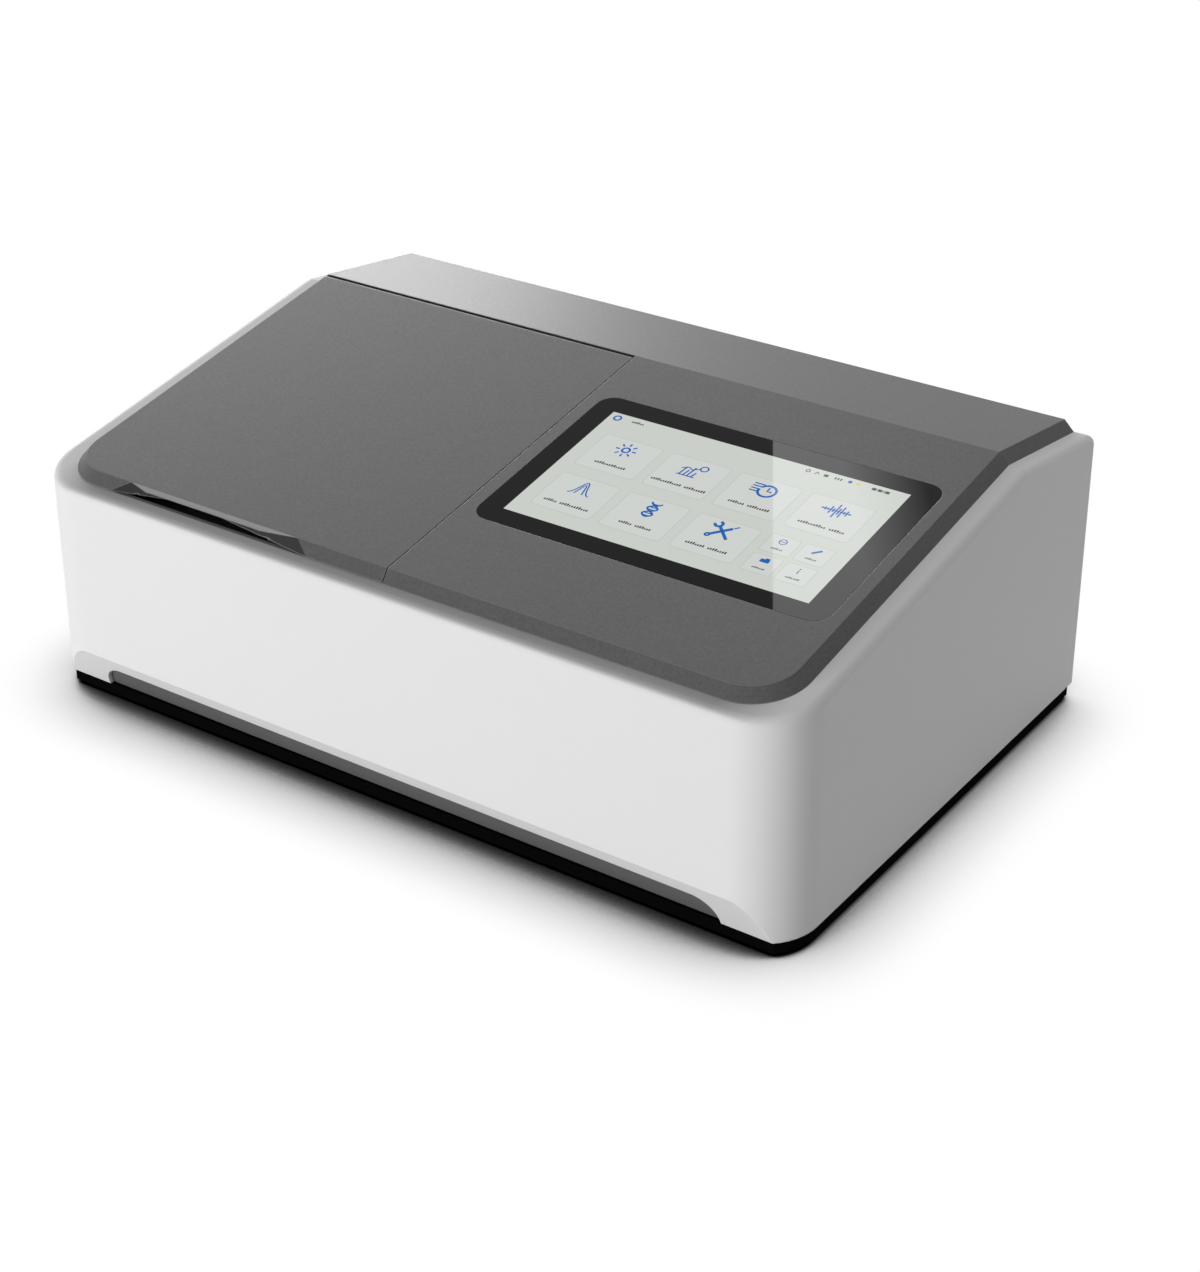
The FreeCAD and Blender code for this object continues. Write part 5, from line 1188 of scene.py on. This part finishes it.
@dataclass
class Optics(SubAssembly):
    """Optical bench, monochromator, drives, filters, lamps and detectors."""

    skins: dict[str, Skin] = field(
        default_factory=lambda: {
            "optical_bench": Skin.CAST,
            "bench_posts": Skin.RUBBER,
            "mono_housing": Skin.ANODISED,
            "mono_cover": Skin.BLACK_SHEET,
            "mono_slits": Skin.ANODISED,
            "mono_mirrors": Skin.MIRROR,
            "exit_mirror": Skin.MIRROR,
            "grating_table": Skin.CAST,
            "grating": Skin.MIRROR,
            "lead_screw": Skin.STEEL,
            "drive_nut": Skin.BRONZE,
            "drive_bearings": Skin.CAST,
            "guide_rod": Skin.STEEL,
            "scan_motor": Skin.BLACK_SHEET,
            "filter_wheel": Skin.ANODISED,
            "order_filters": Skin.FILTER,
            "wheel_motor": Skin.ZINC,
            "beam_mirrors": Skin.MIRROR,
            "detectors": Skin.ANODISED,
            "preamp_board": Skin.BOARD,
            "lamp_house": Skin.ZINC,
            "lamp_house_cover": Skin.ZINC,
            "lamps": Skin.QUARTZ,
            "source_motor": Skin.ZINC,
            "source_mirror": Skin.MIRROR,
        }
    )


@dataclass
class Electrics(SubAssembly):
    """Boards, power supply and everything on the rear panel."""

    skins: dict[str, Skin] = field(
        default_factory=lambda: {
            "main_board": Skin.BOARD,
            "data_ports": Skin.NICKEL,
            "power_supply": Skin.ZINC,
            "rear_panel": Skin.BLACK_SHEET,
            "panel_screws": Skin.STEEL,
            "fan_frame": Skin.BLACK,
            "fan_rotor": Skin.BLACK,
            "fan_guard": Skin.NICKEL,
            "power_inlet": Skin.BLACK,
            "switch_housing": Skin.BLACK,
            "power_rocker": Skin.BLACK,
        }
    )


@dataclass(frozen=True)
class Lamp:
    """A soft studio lamp: its place, aim point, face, power and whether it shows in reflections."""

    name: str
    place: tuple[float, float, float]
    aim: tuple[float, float, float]
    width: float
    height: float
    power: float
    mirrored: bool = True


@dataclass(frozen=True)
class Card:
    """A flat card that only shows in reflections, with a strength that fades across it."""

    name: str
    corners: tuple[tuple[float, float, float], ...]
    strength: tuple[float, float] = (0.0, 0.0)
    fade: tuple[float, float] = (0.0, 1.0)
    slant: float = 0.0


LAMPS = (
    Lamp("key_lamp", (-1.3, -4.5, 0.35), (0.0, 0.0, 0.1), 2.8, 0.8, 149.0, False),
    Lamp("top_lamp", (0.6, 1.7, 2.4), (0.2, 0.1, 0.15), 1.6, 1.6, 17.0),
    Lamp("rear_lamp", (-2.6, 2.2, 1.05), (-0.2, 0.1, 0.2), 2.0, 0.9, 47.0),
)
CARDS = (
    Card(
        "window_card",
        (
            (-0.8458, 1.3505, 1.5573),
            (-0.7481, 1.101, 1.8332),
            (-0.46, 1.2613, 1.8734),
            (-0.5565, 1.5088, 1.5999),
        ),
        (7.0, 1.2),
        (0.5, 0.85),
        0.25,
    ),
    Card("dark_card", ((0.75, 2.4, 0.05), (0.75, 2.4, 1.2), (2.6, 0.8, 1.2), (2.6, 0.8, 0.05))),
)


@dataclass
class Studio:
    """Floor, world, lamps and camera."""

    camera_place: tuple[float, float, float] = (0.9045, -1.2619, 0.9051)
    camera_azimuth: float = 34.60
    camera_elevation: float = 25.97
    lens: float = 72.08
    shift: float = -0.1075
    ambient: float = 0.24
    floor_size: float = 12.0
    floor_colour: Colour = (0.92, 0.92, 0.92)
    shade_reach: float = 0.075
    shade: tuple[tuple[float, float], ...] = (
        (0.30, 0.0),
        (0.38, 0.02),
        (0.42, 0.05),
        (0.46, 0.10),
        (0.50, 0.18),
        (0.54, 0.33),
        (0.57, 0.45),
        (0.60, 0.56),
        (0.635, 0.64),
        (0.67, 0.69),
        (0.74, 0.79),
        (0.82, 0.89),
        (0.88, 0.955),
        (0.95, 1.0),
    )

    def build(self) -> None:
        """Builds the studio."""
        bpy.context.scene.view_settings.view_transform = "Standard"
        self.floor()
        self.world()
        for lamp in LAMPS:
            self.lamp(lamp)
        for card in CARDS:
            self.card(card)
        self.camera()

    def floor(self) -> None:
        """Lays the pale floor, which the camera sees as white paper with the object's shadow."""
        half = self.floor_size / 2
        corners = [(x * half, y * half, 0.0) for x, y in ((-1, -1), (1, -1), (1, 1), (-1, 1))]
        material = bpy.data.materials.new("floor_paper")
        material.use_nodes = True
        n = Nodes(material.node_tree)
        paper = n.add("ShaderNodeBsdfPrincipled", Base_Color=self.floor_colour, Roughness=0.9)
        shade = n.add("ShaderNodeAmbientOcclusion", samples=24, Distance=self.shade_reach)
        ramp = n.add("ShaderNodeValToRGB", Fac=shade.outputs["AO"])
        stops = ramp.color_ramp.elements
        for position, grey in self.shade:
            stop = stops.new(position)
            stop.color = (grey, grey, grey, 1.0)
        stops.remove(stops[0])
        stops.remove(stops[-1])
        white = n.add("ShaderNodeEmission", Color=ramp.outputs["Color"], Strength=1.0)
        blend = n.add("ShaderNodeMixShader", Fac=self.seen(n))
        n.link(paper.outputs[0], blend.inputs[1])
        n.link(white.outputs[0], blend.inputs[2])
        n.link(blend.outputs[0], n.add("ShaderNodeOutputMaterial").inputs["Surface"])
        self.sheet("floor", corners, material)

    @staticmethod
    def sheet(
        name: str, corners: list[tuple[float, float, float]], material: bpy.types.Material
    ) -> bpy.types.Object:
        """Makes a flat four sided sheet.

        Args:
            name: the sheet's name.
            corners: its corners in metres, in order.
            material: its material.

        Returns:
            The sheet.
        """
        mesh = bpy.data.meshes.new(name)
        mesh.from_pydata(corners, [], [(0, 1, 2, 3)])
        mesh.uv_layers.new(name="across")
        mesh.materials.append(material)
        sheet = bpy.data.objects.new(name, mesh)
        bpy.context.scene.collection.objects.link(sheet)
        return sheet

    @staticmethod
    def seen(n: Nodes) -> bpy.types.NodeSocket:
        """Gives 1 for rays from the camera and from reflecting or clear surfaces, else 0.

        Args:
            n: the nodes to add to.

        Returns:
            The result's socket.
        """
        path = n.add("ShaderNodeLightPath").outputs
        direct = n.maths("ADD", path["Is Camera Ray"], path["Is Glossy Ray"])
        return n.maths("MINIMUM", n.maths("ADD", direct, path["Is Transmission Ray"]), 1.0)

    def card(self, card: Card) -> None:
        """Hangs one card.

        Args:
            card: the card to hang.
        """
        material = bpy.data.materials.new(card.name)
        material.use_nodes = True
        n = Nodes(material.node_tree)
        across = n.add("ShaderNodeSeparateXYZ", Vector=n.add("ShaderNodeTexCoord").outputs["UV"])
        slant = n.maths("MULTIPLY", across.outputs["Y"], card.slant)
        fade = n.add("ShaderNodeMapRange", Value=n.maths("ADD", across.outputs["X"], slant))
        fade.inputs["From Min"].default_value, fade.inputs["From Max"].default_value = card.fade
        fade.inputs["To Min"].default_value, fade.inputs["To Max"].default_value = card.strength
        light = n.add("ShaderNodeEmission", Strength=fade.outputs[0])
        n.link(light.outputs[0], n.add("ShaderNodeOutputMaterial").inputs["Surface"])
        hung = self.sheet(card.name, list(card.corners), material)
        for loop, place in zip(hung.data.uv_layers[0].data, ((0, 1), (0, 0), (1, 0), (1, 1))):
            loop.uv = place
        hung.visible_camera = False
        hung.visible_diffuse = False
        hung.visible_shadow = False

    def world(self) -> None:
        """Makes the world white to the camera and in reflections, and softer as a light."""
        world = bpy.data.worlds.new("studio")
        bpy.context.scene.world = world
        world.use_nodes = True
        n = Nodes(world.node_tree)
        soft = n.add("ShaderNodeBackground", Color=(1.0, 1.0, 1.0), Strength=self.ambient)
        white = n.add("ShaderNodeBackground", Color=(1.0, 1.0, 1.0), Strength=1.0)
        blend = n.add("ShaderNodeMixShader", Fac=self.seen(n))
        n.link(soft.outputs[0], blend.inputs[1])
        n.link(white.outputs[0], blend.inputs[2])
        n.link(blend.outputs[0], n.add("ShaderNodeOutputWorld").inputs["Surface"])

    @staticmethod
    def lamp(lamp: Lamp) -> None:
        """Hangs one lamp.

        Args:
            lamp: the lamp to hang.
        """
        data = bpy.data.lights.new(lamp.name, "AREA")
        data.shape = "RECTANGLE"
        data.size, data.size_y, data.energy = lamp.width, lamp.height, lamp.power
        hung = bpy.data.objects.new(lamp.name, data)
        hung.location = lamp.place
        hung.visible_glossy = lamp.mirrored
        hung.rotation_mode = "QUATERNION"
        hung.rotation_quaternion = (Vector(lamp.aim) - Vector(lamp.place)).to_track_quat("-Z", "Y")
        bpy.context.scene.collection.objects.link(hung)

    def camera(self) -> None:
        """Places the camera at the photograph's viewpoint."""
        data = bpy.data.cameras.new("camera")
        data.lens, data.sensor_width, data.shift_y = self.lens, 36.0, self.shift
        data.clip_start, data.clip_end = 0.05, 50.0
        camera = bpy.data.objects.new("camera", data)
        a, e = math.radians(self.camera_azimuth), math.radians(self.camera_elevation)
        back = Vector((math.sin(a) * math.cos(e), -math.cos(a) * math.cos(e), math.sin(e)))
        camera.location = self.camera_place
        camera.rotation_mode = "QUATERNION"
        camera.rotation_quaternion = (-back).to_track_quat("-Z", "Y")
        bpy.context.scene.collection.objects.link(camera)
        bpy.context.scene.camera = camera


def corners(box: tuple[Vector, Vector]) -> list[list[float]]:
    """Turns a box's two corners into plain lists."""
    return [list(corner) for corner in box]


def main() -> None:
    """Builds the instrument's looks and the studio."""
    logging.basicConfig(level=logging.INFO, format="%(message)s")
    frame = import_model()
    for part in (Casing(), Cover(), DisplayFace(), Compartment(), Optics(), Electrics()):
        for piece in part.build(frame):
            log.info("%s built for %s", piece.name, type(part).__name__)
    Studio().build()


if __name__ == "__main__":
    main()
